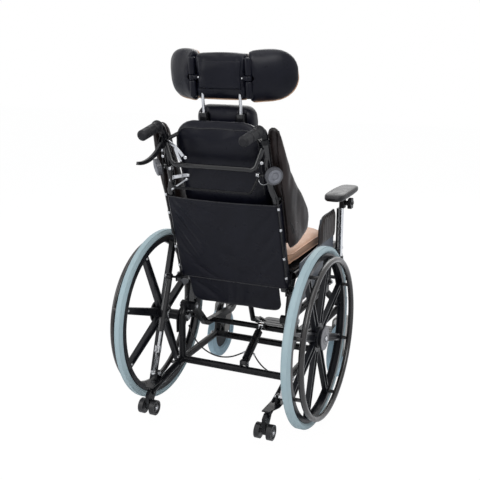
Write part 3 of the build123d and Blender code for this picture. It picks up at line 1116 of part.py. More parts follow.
with BuildPart() as back_cover:
    # pocket: wraps the canes from side to side
    with BuildSketch(BACK.offset(POCKET_LOW)):
        with Locations((0, CANE_D / 2 + SKIN_T - 30)):
            RectangleRounded(POCKET_W, 60, 14)
            RectangleRounded(POCKET_W - 2 * SKIN_T, 60 - 2 * SKIN_T, 14 - SKIN_T, mode=Mode.SUBTRACT)
        with Locations((0, BACK_REAR - 60)):
            Rectangle(POCKET_W + 10, 120, mode=Mode.SUBTRACT)
    extrude(amount=POCKET_TOP - POCKET_LOW)
    # flap below, a little narrower and drawn in at its lower edge
    FLAP_N = CANE_D / 2 + 0.3
    with BuildSketch(back_side(-FLAP_W / 2)):
        with BuildLine():
            Polyline(
                (FLAP_N, 8), (FLAP_N - 3, FLAP_BOTTOM + 8), (FLAP_N - 8, FLAP_BOTTOM),
                (FLAP_N - 5, FLAP_BOTTOM - 2), (FLAP_N - 1, FLAP_BOTTOM + 4), (FLAP_N + SKIN_T - 0.3, 8), close=True,
            )
        make_face()
    extrude(amount=FLAP_W)
    for side in (-1, 1):
        with BuildSketch(Plane(origin=BACK.from_local_coords((0, 30, 0)), x_dir=(1, 0, 0), z_dir=-BACK.y_dir)):
            with BuildLine():
                Line((side * FLAP_W / 2, FLAP_BOTTOM + 34), (side * (FLAP_W / 2 + 5), FLAP_BOTTOM - 6))
                Line((side * (FLAP_W / 2 + 5), FLAP_BOTTOM - 6), (side * (FLAP_W / 2 - 34), FLAP_BOTTOM - 6))
                ThreePointArc(
                    (side * (FLAP_W / 2 - 34), FLAP_BOTTOM - 6), (side * (FLAP_W / 2 - 9), FLAP_BOTTOM + 6),
                    (side * FLAP_W / 2, FLAP_BOTTOM + 34),
                )
            make_face()
        extrude(amount=60, mode=Mode.SUBTRACT)
    # room for the hinge knuckles
    for side in (-1, 1):
        add(rod(side * (CANE_X - 12 - GAP), side * POCKET_W, RECLINE_Y, RECLINE_Z, 28 + 4 * GAP), mode=Mode.SUBTRACT)
WING_PLANE = back_side(WING_X)
with BuildPart() as back_wing_left:
    # fin that swells forward from the shoulder to the ribs and turns back under the arm
    with BuildSketch(WING_PLANE):
        with BuildLine():
            Line((-1, 118), (-1, 548))
            ThreePointArc((-1, 548), (-5, 564), (-16, 560))
            ThreePointArc((-16, 560), (-58, 438), (-96, 318))
            Line((-96, 318), (-126, 196))
            ThreePointArc((-126, 196), (-130, 152), (-104, 118))
            ThreePointArc((-104, 118), (-54, 104), (-1, 118))
        make_face()
    extrude(amount=WING_T)
    fillet(faces().sort_by(Axis.X)[-1].edges(), 5)
    # bolster that fills between the fin and the cushion, ahead of the spacer
    with BuildSketch(back_side(WING_X - BOLSTER_W)):
        with BuildLine():
            Polyline((-17, 150), (-17, 490), (-34, 460), (-74, 330), (-100, 215), (-94, 150), close=True)
        make_face()
        fillet(vertices(), 6)
    extrude(amount=BOLSTER_W)
    fillet(faces().sort_by(Axis.X)[0].edges(), 7)
with BuildPart() as back_wing_right:
    mirror(back_wing_left.part, about=Plane.YZ)

# ------------------------------------------------------------------ headrest
CARRIER_H = 108.0
EAR_X = HEAD_W / 2 + 12
with BuildPart() as headrest_posts:
    for side in (-1, 1):
        with BuildSketch(HEAD.offset(-POST_DROP)):
            with Locations((side * POST_X, 0)):
                Circle(HEAD_POST_D / 2)
        extrude(amount=POST_DROP + CARRIER_H)
        # hinge pin of the folding wing
        with BuildSketch(HEAD.offset(CARRIER_H - 34)):
            with Locations((side * EAR_X, 0)):
                Circle(3)
        extrude(amount=68)
    add(tube([HEAD.from_local_coords((-EAR_X, 0, CARRIER_H)), HEAD.from_local_coords((EAR_X, 0, CARRIER_H))], [], 9))
with BuildPart() as headrest_pad:
    # side profile drawn in at top and bottom, cut to a plan with rounded ends
    with BuildSketch(head_side(-HEAD_W / 2)):
        with BuildLine():
            low, high = HEAD_UP, HEAD_UP + HEAD_H
            front, rear = 9 - HEAD_T, 9
            ThreePointArc((rear - 10, low), (rear + 2, (low + high) / 2), (rear - 10, high))
            ThreePointArc((rear - 10, high), ((front + rear) / 2, high + 6), (front + 12, high))
            ThreePointArc((front + 12, high), (front - 3, (low + high) / 2), (front + 12, low))
            ThreePointArc((front + 12, low), ((front + rear) / 2, low - 6), (rear - 10, low))
        make_face()
    extrude(amount=HEAD_W)
    for side in (-1, 1):
        with BuildSketch(HEAD.offset(0)):
            with Locations((side * POST_X, 0)):
                Circle(HEAD_POST_D / 2 + SOFT)
        extrude(amount=CARRIER_H + 6, mode=Mode.SUBTRACT)
    bore = [HEAD.from_local_coords((x, 0, CARRIER_H)) for x in (-HEAD_W, HEAD_W)]
    add(tube(bore, [], 9 + 2 * SOFT), mode=Mode.SUBTRACT)
ear_root = HEAD.from_local_coords((EAR_X, 0, HEAD_UP + HEAD_H / 2))
ear_out = HEAD.x_dir * math.cos(math.radians(EAR_ANGLE)) - HEAD.y_dir * math.sin(math.radians(EAR_ANGLE))
EAR_FACE = Plane(origin=ear_root, x_dir=ear_out, z_dir=ear_out.cross(HEAD.z_dir))
# distance from the pin, height and thickness of the lobe there, and how far its middle lies ahead of the pin
EAR_SECTIONS = (
    (6, 0.88, 0.5, 2), (22, 0.97, 0.86, 6), (66, 1.0, 1.0, 9), (100, 0.97, 0.96, 9), (128, 0.82, 0.82, 7),
    (144, 0.62, 0.6, 6), (EAR_L + 4, 0.36, 0.28, 4),
)
with BuildPart() as headrest_wing_left:
    # round lobe on a vertical pin, notched at its root for the carrier
    for along, tall, thick, ahead in EAR_SECTIONS:
        place = Plane(
            origin=EAR_FACE.from_local_coords((along, 0, ahead)), x_dir=HEAD.z_dir, z_dir=ear_out
        )
        with BuildSketch(place):
            add(pad_section(EAR_H * tall, EAR_T * thick, 5, 5))
    loft()
    # sleeve round the pin, as tall as the lobe
    with BuildSketch(HEAD.offset(CARRIER_H - 61)):
        with Locations((EAR_X, 0)):
            Circle(SLEEVE_R)
    extrude(amount=122)
    with BuildSketch(HEAD.offset(CARRIER_H - 90)):
        with Locations((EAR_X, 0)):
            Circle(3 + RUN)
    extrude(amount=180, mode=Mode.SUBTRACT)
    with BuildSketch(HEAD.offset(CARRIER_H - 8)):
        with Locations((EAR_X, 0)):
            Circle(16)
    extrude(amount=16, mode=Mode.SUBTRACT)
with BuildPart() as headrest_wing_right:
    mirror(headrest_wing_left.part, about=Plane.YZ)

# ------------------------------------------------------------------ cables
def cord_radii(points):
    """Bend radius at each inner point: 0.45 of the shorter run over the tangent of half the turn."""
    radii = []
    for before, here, after in zip(points, points[1:], points[2:]):
        run_in, run_out = Vector(*here) - Vector(*before), Vector(*after) - Vector(*here)
        turn = math.radians(run_in.get_angle(run_out))
        radii.append(0.45 * min(run_in.length, run_out.length) / math.tan(turn / 2))
    return radii


CORNER = (POCKET_W / 2 - 14 + (14 + CABLE_D / 2 + 0.4) * math.sin(math.radians(45)),
          CANE_D / 2 + SKIN_T - 14 + (14 + CABLE_D / 2 + 0.4) * math.sin(math.radians(45)))
lever_route = on_back((CANE_TOP_X - 2, 27, 491), (176, 26, 450), (184, 20, 405), (*CORNER, 368), (*CORNER, 340.2))
with BuildPart() as lever_cable:
    add(tube(lever_route, cord_radii(lever_route), CABLE_D))
with BuildPart() as cane_cables:
    for side, marks in ((1, (318, 250, 120, 46)), (-1, (300, 226, 120, 46))):
        x, n = side * CORNER[0], CORNER[1]
        add(tube(on_back((x, n, 340), (x, n, 36)), [], CABLE_D))
        for mark in marks:
            with BuildSketch(BACK.offset(mark)):
                with Locations((x, n)):
                    Circle(CABLE_D / 2 + 1.6)
                with Locations((side * (POCKET_W / 2 - 14), CANE_D / 2 + SKIN_T - 14)):
                    Circle(14 + 0.1, mode=Mode.SUBTRACT)
            extrude(amount=9)
left_loop = [
    (STRUT_X + STRUT_D / 2 + 1.7, -22, 194), (6, -26, 176), (40, -24, 162), (80, -18, 160),
    (118, -8, 176), (148, 0, 204), (168, 6, 238), (180, 8, 272),
]
right_loop = [
    (STRUT_X - STRUT_D / 2 - CABLE_D / 2 - 0.4, -22, 194), (-64, -28, 170), (-86, -34, 142), (-118, -36, 124),
    (-150, -34, 120), (-180, -30, 128),
]
with BuildPart() as cable_loop_left:
    add(tube(left_loop, cord_radii(left_loop), CABLE_D))
with BuildPart() as cable_loop_right:
    add(tube(right_loop, cord_radii(right_loop), CABLE_D))
for name, route in (("lever cable", lever_route), ("left loop", left_loop), ("right loop", right_loop)):
    print(name, "bend radii", [round(radius, 1) for radius in cord_radii(route)])

with BuildPart() as lock_brackets:
    add(lock_bracket_left.part)
    mirror(lock_bracket_left.part, about=Plane.YZ)
    add(base_side_frame_left.part, mode=Mode.SUBTRACT)
    add(base_side_frame_right.part, mode=Mode.SUBTRACT)

# ------------------------------------------------------------------ finished pieces
os.makedirs("parts", exist_ok=True)
pieces = {
    "base_side_frame_left": base_side_frame_left,
    "base_side_frame_right": base_side_frame_right,
    "base_cross_tubes": base_cross_tubes,
    "anti_tip_arms": anti_tip_arms,
    "base_fasteners": base_fasteners,
    "lock_brackets": lock_brackets,
    "mag_wheel_left": mag_wheel_left,
    "mag_wheel_right": mag_wheel_right,
    "rear_tyre_left": rear_tyre_left,
    "rear_tyre_right": rear_tyre_right,
    "handrim_left": handrim_left,
    "handrim_right": handrim_right,
    "caster_fork_left": caster_fork_left,
    "caster_fork_right": caster_fork_right,
    "caster_wheel_left": caster_wheel_left,
    "caster_wheel_right": caster_wheel_right,
    "anti_tip_rollers_left": anti_tip_rollers_left,
    "anti_tip_rollers_right": anti_tip_rollers_right,
    "wheel_lock_left": wheel_lock_left,
    "wheel_lock_right": wheel_lock_right,
    "tilt_spring_body_left": tilt_spring_body_left,
    "tilt_spring_body_right": tilt_spring_body_right,
    "tilt_spring_rod_left": tilt_spring_rod_left,
    "tilt_spring_rod_right": tilt_spring_rod_right,
    "centre_strut_body": centre_strut_body,
    "centre_strut_rod": centre_strut_rod,
    "seat_frame": seat_frame,
    "seat_cushion": seat_cushion,
    "side_panels": side_panels,
    "arm_post_left": arm_post_left,
    "arm_post_right": arm_post_right,
    "arm_pad_left": arm_pad_left,
    "arm_pad_right": arm_pad_right,
    "arm_knob_left": arm_knob_left,
    "arm_knob_right": arm_knob_right,
    "legrest_left": legrest_left,
    "legrest_right": legrest_right,
    "footplate_left": footplate_left,
    "footplate_right": footplate_right,
    "back_frame": back_frame,
    "release_bar": release_bar,
    "push_handle_left": push_handle_left,
    "push_handle_right": push_handle_right,
    "grip_left": grip_left,
    "grip_right": grip_right,
    "handle_knob_left": handle_knob_left,
    "handle_knob_right": handle_knob_right,
    "hand_lever": hand_lever,
    "back_cushion": back_cushion,
    "back_cover": back_cover,
    "back_wing_left": back_wing_left,
    "back_wing_right": back_wing_right,
    "headrest_posts": headrest_posts,
    "headrest_pad": headrest_pad,
    "headrest_wing_left": headrest_wing_left,
    "headrest_wing_right": headrest_wing_right,
    "lever_cable": lever_cable,
    "cane_cables": cane_cables,
    "cable_loop_left": cable_loop_left,
    "cable_loop_right": cable_loop_right,
}
for label, piece in pieces.items():
    piece.part.label = label
    export_step(piece.part, f"parts/{label}.step")
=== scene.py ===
from math import copysign, cos, exp, hypot, pi, radians, sin, sqrt, tan
import bpy
import bmesh
import numpy as np
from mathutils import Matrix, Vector
from mathutils.bvhtree import BVHTree


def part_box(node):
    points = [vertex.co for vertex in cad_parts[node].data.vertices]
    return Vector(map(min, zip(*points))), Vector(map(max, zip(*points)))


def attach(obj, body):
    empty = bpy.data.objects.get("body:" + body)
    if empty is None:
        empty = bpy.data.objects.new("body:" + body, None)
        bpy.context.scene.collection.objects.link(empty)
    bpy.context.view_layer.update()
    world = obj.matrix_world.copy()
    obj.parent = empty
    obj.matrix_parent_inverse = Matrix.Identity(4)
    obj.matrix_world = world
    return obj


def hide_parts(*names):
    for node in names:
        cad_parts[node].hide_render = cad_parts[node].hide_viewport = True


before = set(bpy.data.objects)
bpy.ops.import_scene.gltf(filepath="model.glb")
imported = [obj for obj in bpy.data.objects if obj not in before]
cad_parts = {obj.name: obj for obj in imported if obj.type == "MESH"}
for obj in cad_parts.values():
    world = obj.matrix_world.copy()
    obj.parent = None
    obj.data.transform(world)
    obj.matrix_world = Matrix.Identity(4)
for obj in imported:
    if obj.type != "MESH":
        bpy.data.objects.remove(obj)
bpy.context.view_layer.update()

# ---------------------------------------------------------------- the studio
# A plain pale floor runs up into the background behind the chair. Three large soft lamps stand round it with a
# fourth over it, and the camera looks down a little from behind its right-hand side.
camera = bpy.data.objects.new("studio_camera", bpy.data.cameras.new("studio_camera"))
camera.data.sensor_width = 36.0
camera.data.lens = 59.21
camera.data.dof.use_dof = False
camera.data.clip_end = 60.0
camera.location = (-1.0484, 2.3151, 1.2618)
camera.rotation_euler = (radians(90 - 14.641), radians(-0.025), radians(204.096))
bpy.context.scene.collection.objects.link(camera)
bpy.context.scene.camera = camera
bpy.context.scene.view_settings.view_transform = "Standard"


def add_node(tree, kind, settings=None, **values):
    """New shader node with its settings and the values of its inputs."""
    node = tree.nodes.new("ShaderNode" + kind)
    for label, value in (settings or {}).items():
        setattr(node, label, value)
    for label, value in values.items():
        node.inputs[label.replace("_", " ")].default_value = value
    return node


def wire(tree, *runs):
    """Joins sockets: each run is a node and its output, then a node and its input."""
    for source, out, target, into in runs:
        tree.links.new(source.outputs[out], target.inputs[into])


studio_air = bpy.data.worlds.new("studio_air")
bpy.context.scene.world = studio_air
studio_air.use_nodes = True
air = studio_air.node_tree
air.nodes.clear()
air_out, air_mix, air_path = (add_node(air, kind) for kind in ("OutputWorld", "MixShader", "LightPath"))
air_soft = add_node(air, "Background", Color=(0.86, 0.89, 0.95, 1), Strength=0.5)
air_white = add_node(air, "Background", Color=(1, 1, 1, 1))
air_seen, air_mirrored = (add_node(air, "Math", {"operation": "MAXIMUM"}) for _ in range(2))
wire(air, (air_path, "Is Camera Ray", air_seen, 0), (air_path, "Is Glossy Ray", air_mirrored, 0),
     (air_path, "Is Transmission Ray", air_mirrored, 1), (air_mirrored, 0, air_seen, 1), (air_seen, 0, air_mix, 0),
     (air_soft, 0, air_mix, 1), (air_white, 0, air_mix, 2), (air_mix, 0, air_out, 0))

for lamp_name, place, aim, size, watts in (
    ("soft_box_key", (-1.9, 2.4, 3.0), (0, 0, 0.6), 1.9, 62),
    ("soft_box_fill", (2.6, 2.0, 1.9), (0, 0, 0.6), 2.2, 40),
    ("soft_box_front", (0.4, -3.0, 2.6), (0, 0, 0.7), 2.4, 46),
    ("soft_box_top", (-0.2, 0.3, 3.6), (0, 0, 0.5), 2.4, 34),
):
    lamp = bpy.data.objects.new(lamp_name, bpy.data.lights.new(lamp_name, "AREA"))
    lamp.data.shape = "SQUARE"
    lamp.data.size = size
    lamp.data.energy = watts
    lamp.location = place
    lamp.rotation_euler = (Vector(aim) - Vector(place)).to_track_quat("-Z", "Y").to_euler()
    bpy.context.scene.collection.objects.link(lamp)


def solid_from(name, points, faces, smooth=True):
    """Mesh object from points and faces, with its normals made to agree."""
    mesh = bpy.data.meshes.new(name)
    mesh.from_pydata([tuple(p) for p in points], [], faces)
    shell = bmesh.new()
    shell.from_mesh(mesh)
    bmesh.ops.recalc_face_normals(shell, faces=shell.faces)
    shell.to_mesh(mesh)
    shell.free()
    if smooth:
        mesh.polygons.foreach_set("use_smooth", [True] * len(mesh.polygons))
    made = bpy.data.objects.new(name, mesh)
    bpy.context.scene.collection.objects.link(made)
    return made


studio_floor = solid_from(
    "studio_floor", [(-9, -9, 0), (9, -9, 0), (9, 9, 0), (-9, 9, 0)], [(0, 1, 2, 3)], smooth=False
)
studio_floor.location.z = -0.0005
studio_paper = bpy.data.materials.new("studio_paper")
studio_paper.use_nodes = True
paper = studio_paper.node_tree
paper.nodes.clear()
paper_out, paper_mix, paper_path = (add_node(paper, kind) for kind in ("OutputMaterial", "MixShader", "LightPath"))
paper_diffuse = add_node(paper, "BsdfDiffuse", Color=(0.95, 0.95, 0.955, 1))
paper_glow = add_node(paper, "Emission", Color=(1, 1, 1, 1), Strength=1.012)
paper_share = add_node(paper, "Math", {"operation": "MULTIPLY"})
paper_share.inputs[1].default_value = 0.97
wire(paper, (paper_path, "Is Camera Ray", paper_share, 0), (paper_share, 0, paper_mix, 0),
     (paper_diffuse, 0, paper_mix, 1), (paper_glow, 0, paper_mix, 2), (paper_mix, 0, paper_out, 0))
studio_floor.data.materials.append(studio_paper)

# ---------------------------------------------------------------- the painted tube frame
# The base, the seat frame, the back frame and the legrests are bent from round and square steel tube, welded, and
# powder coated satin black. The coat is thin on the edges of plates and rubbed where hands go.
SIDES = (("left", 1), ("right", -1))


def shared_group(name, inputs, outputs):
    """Empty shader node group: labelled input values, and labels of what it puts out."""
    group = bpy.data.node_groups.new(name, "ShaderNodeTree")
    for label, value in inputs:
        kind = "Color" if isinstance(value, tuple) else "Float"
        group.interface.new_socket(label, in_out="INPUT", socket_type="NodeSocket" + kind).default_value = value
    for label in outputs:
        kind = "Color" if label == "Colour" else "Float"
        group.interface.new_socket(label, in_out="OUTPUT", socket_type="NodeSocket" + kind)
    return group, group.nodes.new("NodeGroupInput"), group.nodes.new("NodeGroupOutput")


def ramp(tree, low, high, low_value=0.0, high_value=1.0):
    return add_node(tree, "MapRange", From_Min=low, From_Max=high, To_Min=low_value, To_Max=high_value)


def mix_colour(tree, factor, first, second):
    node = add_node(tree, "Mix", {"data_type": "RGBA"})
    tree.links.new(factor, node.inputs[0])
    for source, socket in ((first, node.inputs[6]), (second, node.inputs[7])):
        if isinstance(source, tuple):
            socket.default_value = source
        else:
            tree.links.new(source, socket)
    return node.outputs[2]


# edge wear: rubbed edges, light dust and the orange-peel ripple of a sprayed or powder coat
wear_group, wear_in, wear_out = shared_group(
    "edge_wear",
    [("Colour", (0.02, 0.02, 0.02, 1)), ("Worn Colour", (0.2, 0.2, 0.2, 1)), ("Wear", 0.4), ("Roughness", 0.35),
     ("Ripple Scale", 900.0)], ["Colour", "Roughness", "Height"],
)
wear_geo, wear_place = (add_node(wear_group, kind) for kind in ("NewGeometry", "TexCoord"))
wear_edge, wear_cut = ramp(wear_group, 0.53, 0.62), ramp(wear_group, 0.48, 0.66)
wear_patch = add_node(wear_group, "TexNoise", Scale=60.0, Detail=5.0, Roughness=0.65)
wear_both, wear_part = (add_node(wear_group, "Math", {"operation": "MULTIPLY"}) for _ in range(2))
wear_dust = add_node(wear_group, "TexNoise", Scale=9.0, Detail=4.0, Roughness=0.6)
wear_dust_cut = ramp(wear_group, 0.35, 0.7, -0.06, 0.09)
wear_rough = add_node(wear_group, "Math", {"operation": "ADD"})
wear_ripple = add_node(wear_group, "TexNoise", Detail=2.0)
wire(wear_group, (wear_geo, "Pointiness", wear_edge, "Value"), (wear_place, "Object", wear_patch, "Vector"),
     (wear_place, "Object", wear_dust, "Vector"), (wear_place, "Object", wear_ripple, "Vector"),
     (wear_in, "Ripple Scale", wear_ripple, "Scale"), (wear_patch, 0, wear_cut, "Value"),
     (wear_edge, 0, wear_both, 0), (wear_cut, 0, wear_both, 1), (wear_both, 0, wear_part, 0),
     (wear_in, "Wear", wear_part, 1), (wear_dust, 0, wear_dust_cut, "Value"), (wear_dust_cut, 0, wear_rough, 0),
     (wear_in, "Roughness", wear_rough, 1), (wear_rough, 0, wear_out, "Roughness"),
     (wear_ripple, 0, wear_out, "Height"))
wear_group.links.new(mix_colour(wear_group, wear_part.outputs[0], wear_in.outputs["Colour"],
                                wear_in.outputs["Worn Colour"]), wear_out.inputs["Colour"])


def plain_material(name, **plain):
    """Material, its nodes and its shader, with the values that are the same all over set on the shader."""
    material = bpy.data.materials.new(name)
    material.use_nodes = True
    shader = material.node_tree.nodes["Principled BSDF"]
    for label, value in plain.items():
        shader.inputs[label.replace("_", " ")].default_value = value
    return material, material.node_tree, shader


def surface_from(tree, shader, group, strength, bump, **values):
    """Puts the colour, roughness and relief of a shared group on a shader."""
    effect = add_node(tree, "Group", {"node_tree": group}, **values)
    relief = add_node(tree, "Bump", Strength=strength, Distance=bump)
    wire(tree, (effect, "Colour", shader, "Base Color"), (effect, "Roughness", shader, "Roughness"),
         (effect, "Height", relief, "Height"), (relief, 0, shader, "Normal"))


def coated(name, colour, worn, wear, roughness, ripple=900.0, bump=0.00003, metallic=0.0, coat=0.0,
           specular=0.5):
    """Painted or plated hard surface with rubbed edges."""
    material, tree, shader = plain_material(name, Metallic=metallic, Coat_Weight=coat, Coat_Roughness=0.12,
                                            Specular_IOR_Level=specular)
    surface_from(tree, shader, wear_group, 0.5, bump, Colour=(*colour, 1), Worn_Colour=(*worn, 1), Wear=wear,
                 Roughness=roughness, Ripple_Scale=ripple)
    return material


def dress(material, *names):
    """Gives CAD nodes their finish."""
    for name in names:
        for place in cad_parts[name].material_slots:
            place.material = material


def both(name):
    return name + "_left", name + "_right"


black_powder_coat = coated("black_powder_coat", (0.004, 0.0042, 0.0054), (0.05, 0.05, 0.052), wear=0.3,
                           roughness=0.27, coat=0.09, specular=0.14)
dress(black_powder_coat, *both("base_side_frame"), "base_cross_tubes", "anti_tip_arms", "lock_brackets",
      "seat_frame", *both("legrest"), *both("push_handle"), "release_bar")

# ---------------------------------------------------------------- bolts, pins and lock levers
# Zinc-plated steel screws and axle bolts hold the frame together, with a domed head over each pivot. The lock levers
# are pressed from steel sheet and enamelled black.
zinc_plate = coated("zinc_plate", (0.5, 0.51, 0.53), (0.75, 0.75, 0.75), wear=0.5, roughness=0.27, ripple=400.0,
                    metallic=1.0)
lock_enamel = coated("lock_enamel", (0.03, 0.03, 0.034), (0.3, 0.3, 0.3), wear=0.6, roughness=0.33, coat=0.15,
                     specular=0.35)
dress(zinc_plate, "base_fasteners", *both("tilt_spring_rod"))
dress(lock_enamel, *both("wheel_lock"))


def fit(made, material, body, node=None):
    """Gives a piece its finish and body, and hides the CAD node that it stands for."""
    if material:
        made.data.materials.append(material)
    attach(made, body)
    if node:
        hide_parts(node)
    return made


def hoops(rows, steps):
    """Faces between rows of points, each row a closed hoop."""
    return [(r * steps + k, r * steps + (k + 1) % steps, (r + 1) * steps + (k + 1) % steps, (r + 1) * steps + k)
            for r in range(rows - 1) for k in range(steps)]


def turned(name, outline, centre, axis, steps):
    """Body turned from an outline of (radius, height) pairs about an axis through a point."""
    way = Vector(axis).normalized()
    across = way.orthogonal().normalized()
    up = way.cross(across)
    turns = [2 * pi * k / steps for k in range(steps)]
    points = [Vector(centre) + way * height + (across * cos(a) + up * sin(a)) * radius
              for radius, height in outline for a in turns]
    ends = [tuple(range(steps)), tuple(range(len(points) - steps, len(points)))]
    return solid_from(name, points, hoops(len(outline), steps) + ends)


def bolt_head(name, centre, axis, across, body, material=zinc_plate):
    """Button-headed screw with a hexagon socket."""
    r = across / 2
    outline = [(r * 0.98, 0), (r, r * 0.12), (r * 0.97, r * 0.35), (r * 0.82, r * 0.58), (r * 0.5, r * 0.68),
               (r * 0.42, r * 0.66), (r * 0.4, r * 0.22), (r * 0.02, r * 0.2)]
    return fit(turned(name, outline, centre, axis, 24), material, body)


for hand, sign in SIDES:
    for number, (x, y, z) in enumerate(((0.2145, -0.012, 0.338), (0.2145, 0.020, 0.147), (0.2145, -0.25, 0.147))):
        bolt_head(f"frame_bolt_{hand}_{number + 1}", (sign * x, y, z), (sign, 0, 0), 0.016, "base")
    bolt_head(f"lock_bolt_{hand}", (sign * 0.236, -0.318, 0.390), (sign, 0, 0), 0.013, "base")

# ---------------------------------------------------------------- rear wheels
# Each wheel is one moulding of glass-filled nylon with eight ribbed spokes, pressed on a solid grey-blue
# polyurethane tyre. The black steel handrim is screwed to a post on every spoke.
WHEEL_X, WHEEL_Z = 0.289, 0.300
SPOKES, SPOKE_FIRST, SPOKE_BOLT_R = 8, 19.5, 0.252
BEAD_R, BEAD_WIDE, BEAD_HIGH, BEAD_STEPS = 0.2989, 0.0022, 0.0011, 120


def moulded(name, colour, roughness, grain=420.0, bump=0.00004, specular=0.5, coat=0.0, mottled=0.0,
            tint=(0.5, 0.5, 0.5)):
    """Moulded plastic or rubber: fine spark-eroded grain, faint flow marks, a little dust."""
    material, tree, shader = plain_material(name, Specular_IOR_Level=specular, Coat_Weight=coat, Coat_Roughness=0.2)
    place = add_node(tree, "TexCoord")
    flow = add_node(tree, "TexNoise", Scale=14.0, Detail=5.0, Roughness=0.6)
    share, dull = ramp(tree, 0.35, 0.75, 0.0, mottled), ramp(tree, 0.3, 0.75, roughness - 0.06, roughness + 0.1)
    pits = add_node(tree, "TexNoise", Scale=grain, Detail=3.0, Roughness=0.7)
    relief = add_node(tree, "Bump", Strength=0.6, Distance=bump)
    tree.links.new(mix_colour(tree, share.outputs[0], (*colour, 1), (*tint, 1)), shader.inputs["Base Color"])
    wire(tree, (place, "Object", flow, "Vector"), (flow, 0, share, "Value"), (flow, 0, dull, "Value"),
         (dull, 0, shader, "Roughness"), (place, "Object", pits, "Vector"), (pits, 0, relief, "Height"),
         (relief, 0, shader, "Normal"))
    return material


wheel_nylon = moulded("wheel_nylon", (0.0065, 0.007, 0.0092), roughness=0.3, mottled=0.25,
                      tint=(0.017, 0.018, 0.024), coat=0.06, specular=0.2)
tyre_compound = moulded("tyre_compound", (0.29, 0.385, 0.415), roughness=0.55, grain=260.0, bump=0.00008,
                        specular=0.35, mottled=0.5, tint=(0.36, 0.44, 0.46))
handrim_enamel = coated("handrim_enamel", (0.014, 0.0125, 0.0128), (0.2, 0.19, 0.18), wear=0.3, roughness=0.22,
                        coat=0.35, specular=0.35)
hub_cap_plastic = moulded("hub_cap_plastic", (0.16, 0.16, 0.17), roughness=0.4)
dress(wheel_nylon, *both("mag_wheel"))
dress(tyre_compound, *both("rear_tyre"))
dress(handrim_enamel, *both("handrim"))


def tyre_bead(name, x):
    """Thin bead round a tyre: a flat hoop with a rounded top."""
    profile = [(-BEAD_WIDE / 2, 0), (-BEAD_WIDE * 0.36, BEAD_HIGH * 0.8), (0, BEAD_HIGH),
               (BEAD_WIDE * 0.36, BEAD_HIGH * 0.8), (BEAD_WIDE / 2, 0), (0, -BEAD_HIGH)]
    n = len(profile)
    points = [Vector((x + across, 0, WHEEL_Z)) + Vector((0, cos(a), sin(a))) * (BEAD_R + lift)
              for a in (2 * pi * k / BEAD_STEPS for k in range(BEAD_STEPS)) for across, lift in profile]
    faces = [(k * n + j, k * n + (j + 1) % n, (k + 1) % BEAD_STEPS * n + (j + 1) % n, (k + 1) % BEAD_STEPS * n + j)
             for k in range(BEAD_STEPS) for j in range(n)]
    return solid_from(name, points, faces)


for hand, sign in SIDES:
    wheel = "rear_wheel_" + hand
    for number, across in enumerate((-0.0085, 0.0085)):
        fit(tyre_bead(f"tyre_bead_{hand}_{number + 1}", sign * WHEEL_X + across), tyre_compound, wheel)
    # bolt at the outer end of each spoke
    for number in range(SPOKES):
        a = radians(SPOKE_FIRST + 360 / SPOKES * number)
        place = (sign * (WHEEL_X - 0.0075), SPOKE_BOLT_R * cos(a), WHEEL_Z + SPOKE_BOLT_R * sin(a))
        bolt_head(f"spoke_bolt_{hand}_{number + 1}", place, (-sign, 0, 0), 0.0095, wheel)
    # grey cap over the hub with its raised edge, the axle's release button, and the nut inboard of the hub
    fit(turned(
        f"hub_cap_{hand}",
        [(0.0392, 0), (0.0398, 0.001), (0.0392, 0.0026), (0.036, 0.0032), (0.0345, 0.0022), (0.020, 0.0026),
         (0.0185, 0.0044), (0.0165, 0.005), (0.013, 0.0048), (0.0122, 0.003), (0.0002, 0.0028)],
        (sign * 0.3158, 0, WHEEL_Z), (sign, 0, 0), 48,
    ), hub_cap_plastic, wheel)
    fit(turned(
        f"axle_button_{hand}", [(0.0078, 0), (0.0078, 0.004), (0.0066, 0.0054), (0.003, 0.006), (0.0002, 0.0061)],
        (sign * 0.3185, 0, WHEEL_Z), (sign, 0, 0), 24,
    ), zinc_plate, wheel)
    fit(turned(
        f"axle_nut_{hand}",
        [(0.0135, 0), (0.0135, 0.0015), (0.0105, 0.0016), (0.0105, 0.009), (0.009, 0.0105), (0.0002, 0.0106)],
        (sign * 0.262, 0, WHEEL_Z), (-sign, 0, 0), 30,
    ), zinc_plate, "base")

# ---------------------------------------------------------------- front casters and anti-tip rollers
# The casters are light blue solid tyres moulded on black hubs, in forks of grey painted steel that swivel in the
# frame's housings. Two pairs of small hard rollers trail behind the rear wheels.
CASTER_X, CASTER_Y, CASTER_Z = 0.246, -0.390, 0.098
ROLLER_X, ROLLER_Y, ROLLER_Z = 0.208, 0.245, 0.062
fork_paint = coated("fork_paint", (0.2, 0.185, 0.17), (0.4, 0.38, 0.36), wear=0.4, roughness=0.34, coat=0.3)
dress(fork_paint, *both("caster_fork"))


def banded(name, inner, outer, limit, centre, roughness=0.5):
    """Two-shot moulding turned about X: one colour inside a radius and the other outside it."""
    material = moulded(name, outer, roughness=roughness, grain=260.0, bump=0.00006, specular=0.4)
    tree = material.node_tree
    base = tree.nodes["Principled BSDF"].inputs["Base Color"]
    place = add_node(tree, "TexCoord")
    apart = add_node(tree, "VectorMath", {"operation": "SUBTRACT"})
    apart.inputs[1].default_value = centre
    flat = add_node(tree, "VectorMath", {"operation": "MULTIPLY"})
    flat.inputs[1].default_value = (0, 1, 1)
    reach = add_node(tree, "VectorMath", {"operation": "LENGTH"})
    edge = ramp(tree, limit - 0.0004, limit + 0.0004)
    wire(tree, (place, "Object", apart, 0), (apart, 0, flat, 0), (flat, 0, reach, 0),
         (reach, "Value", edge, "Value"))
    tree.links.new(mix_colour(tree, edge.outputs[0], (*inner, 1), base.links[0].from_socket), base)
    return material


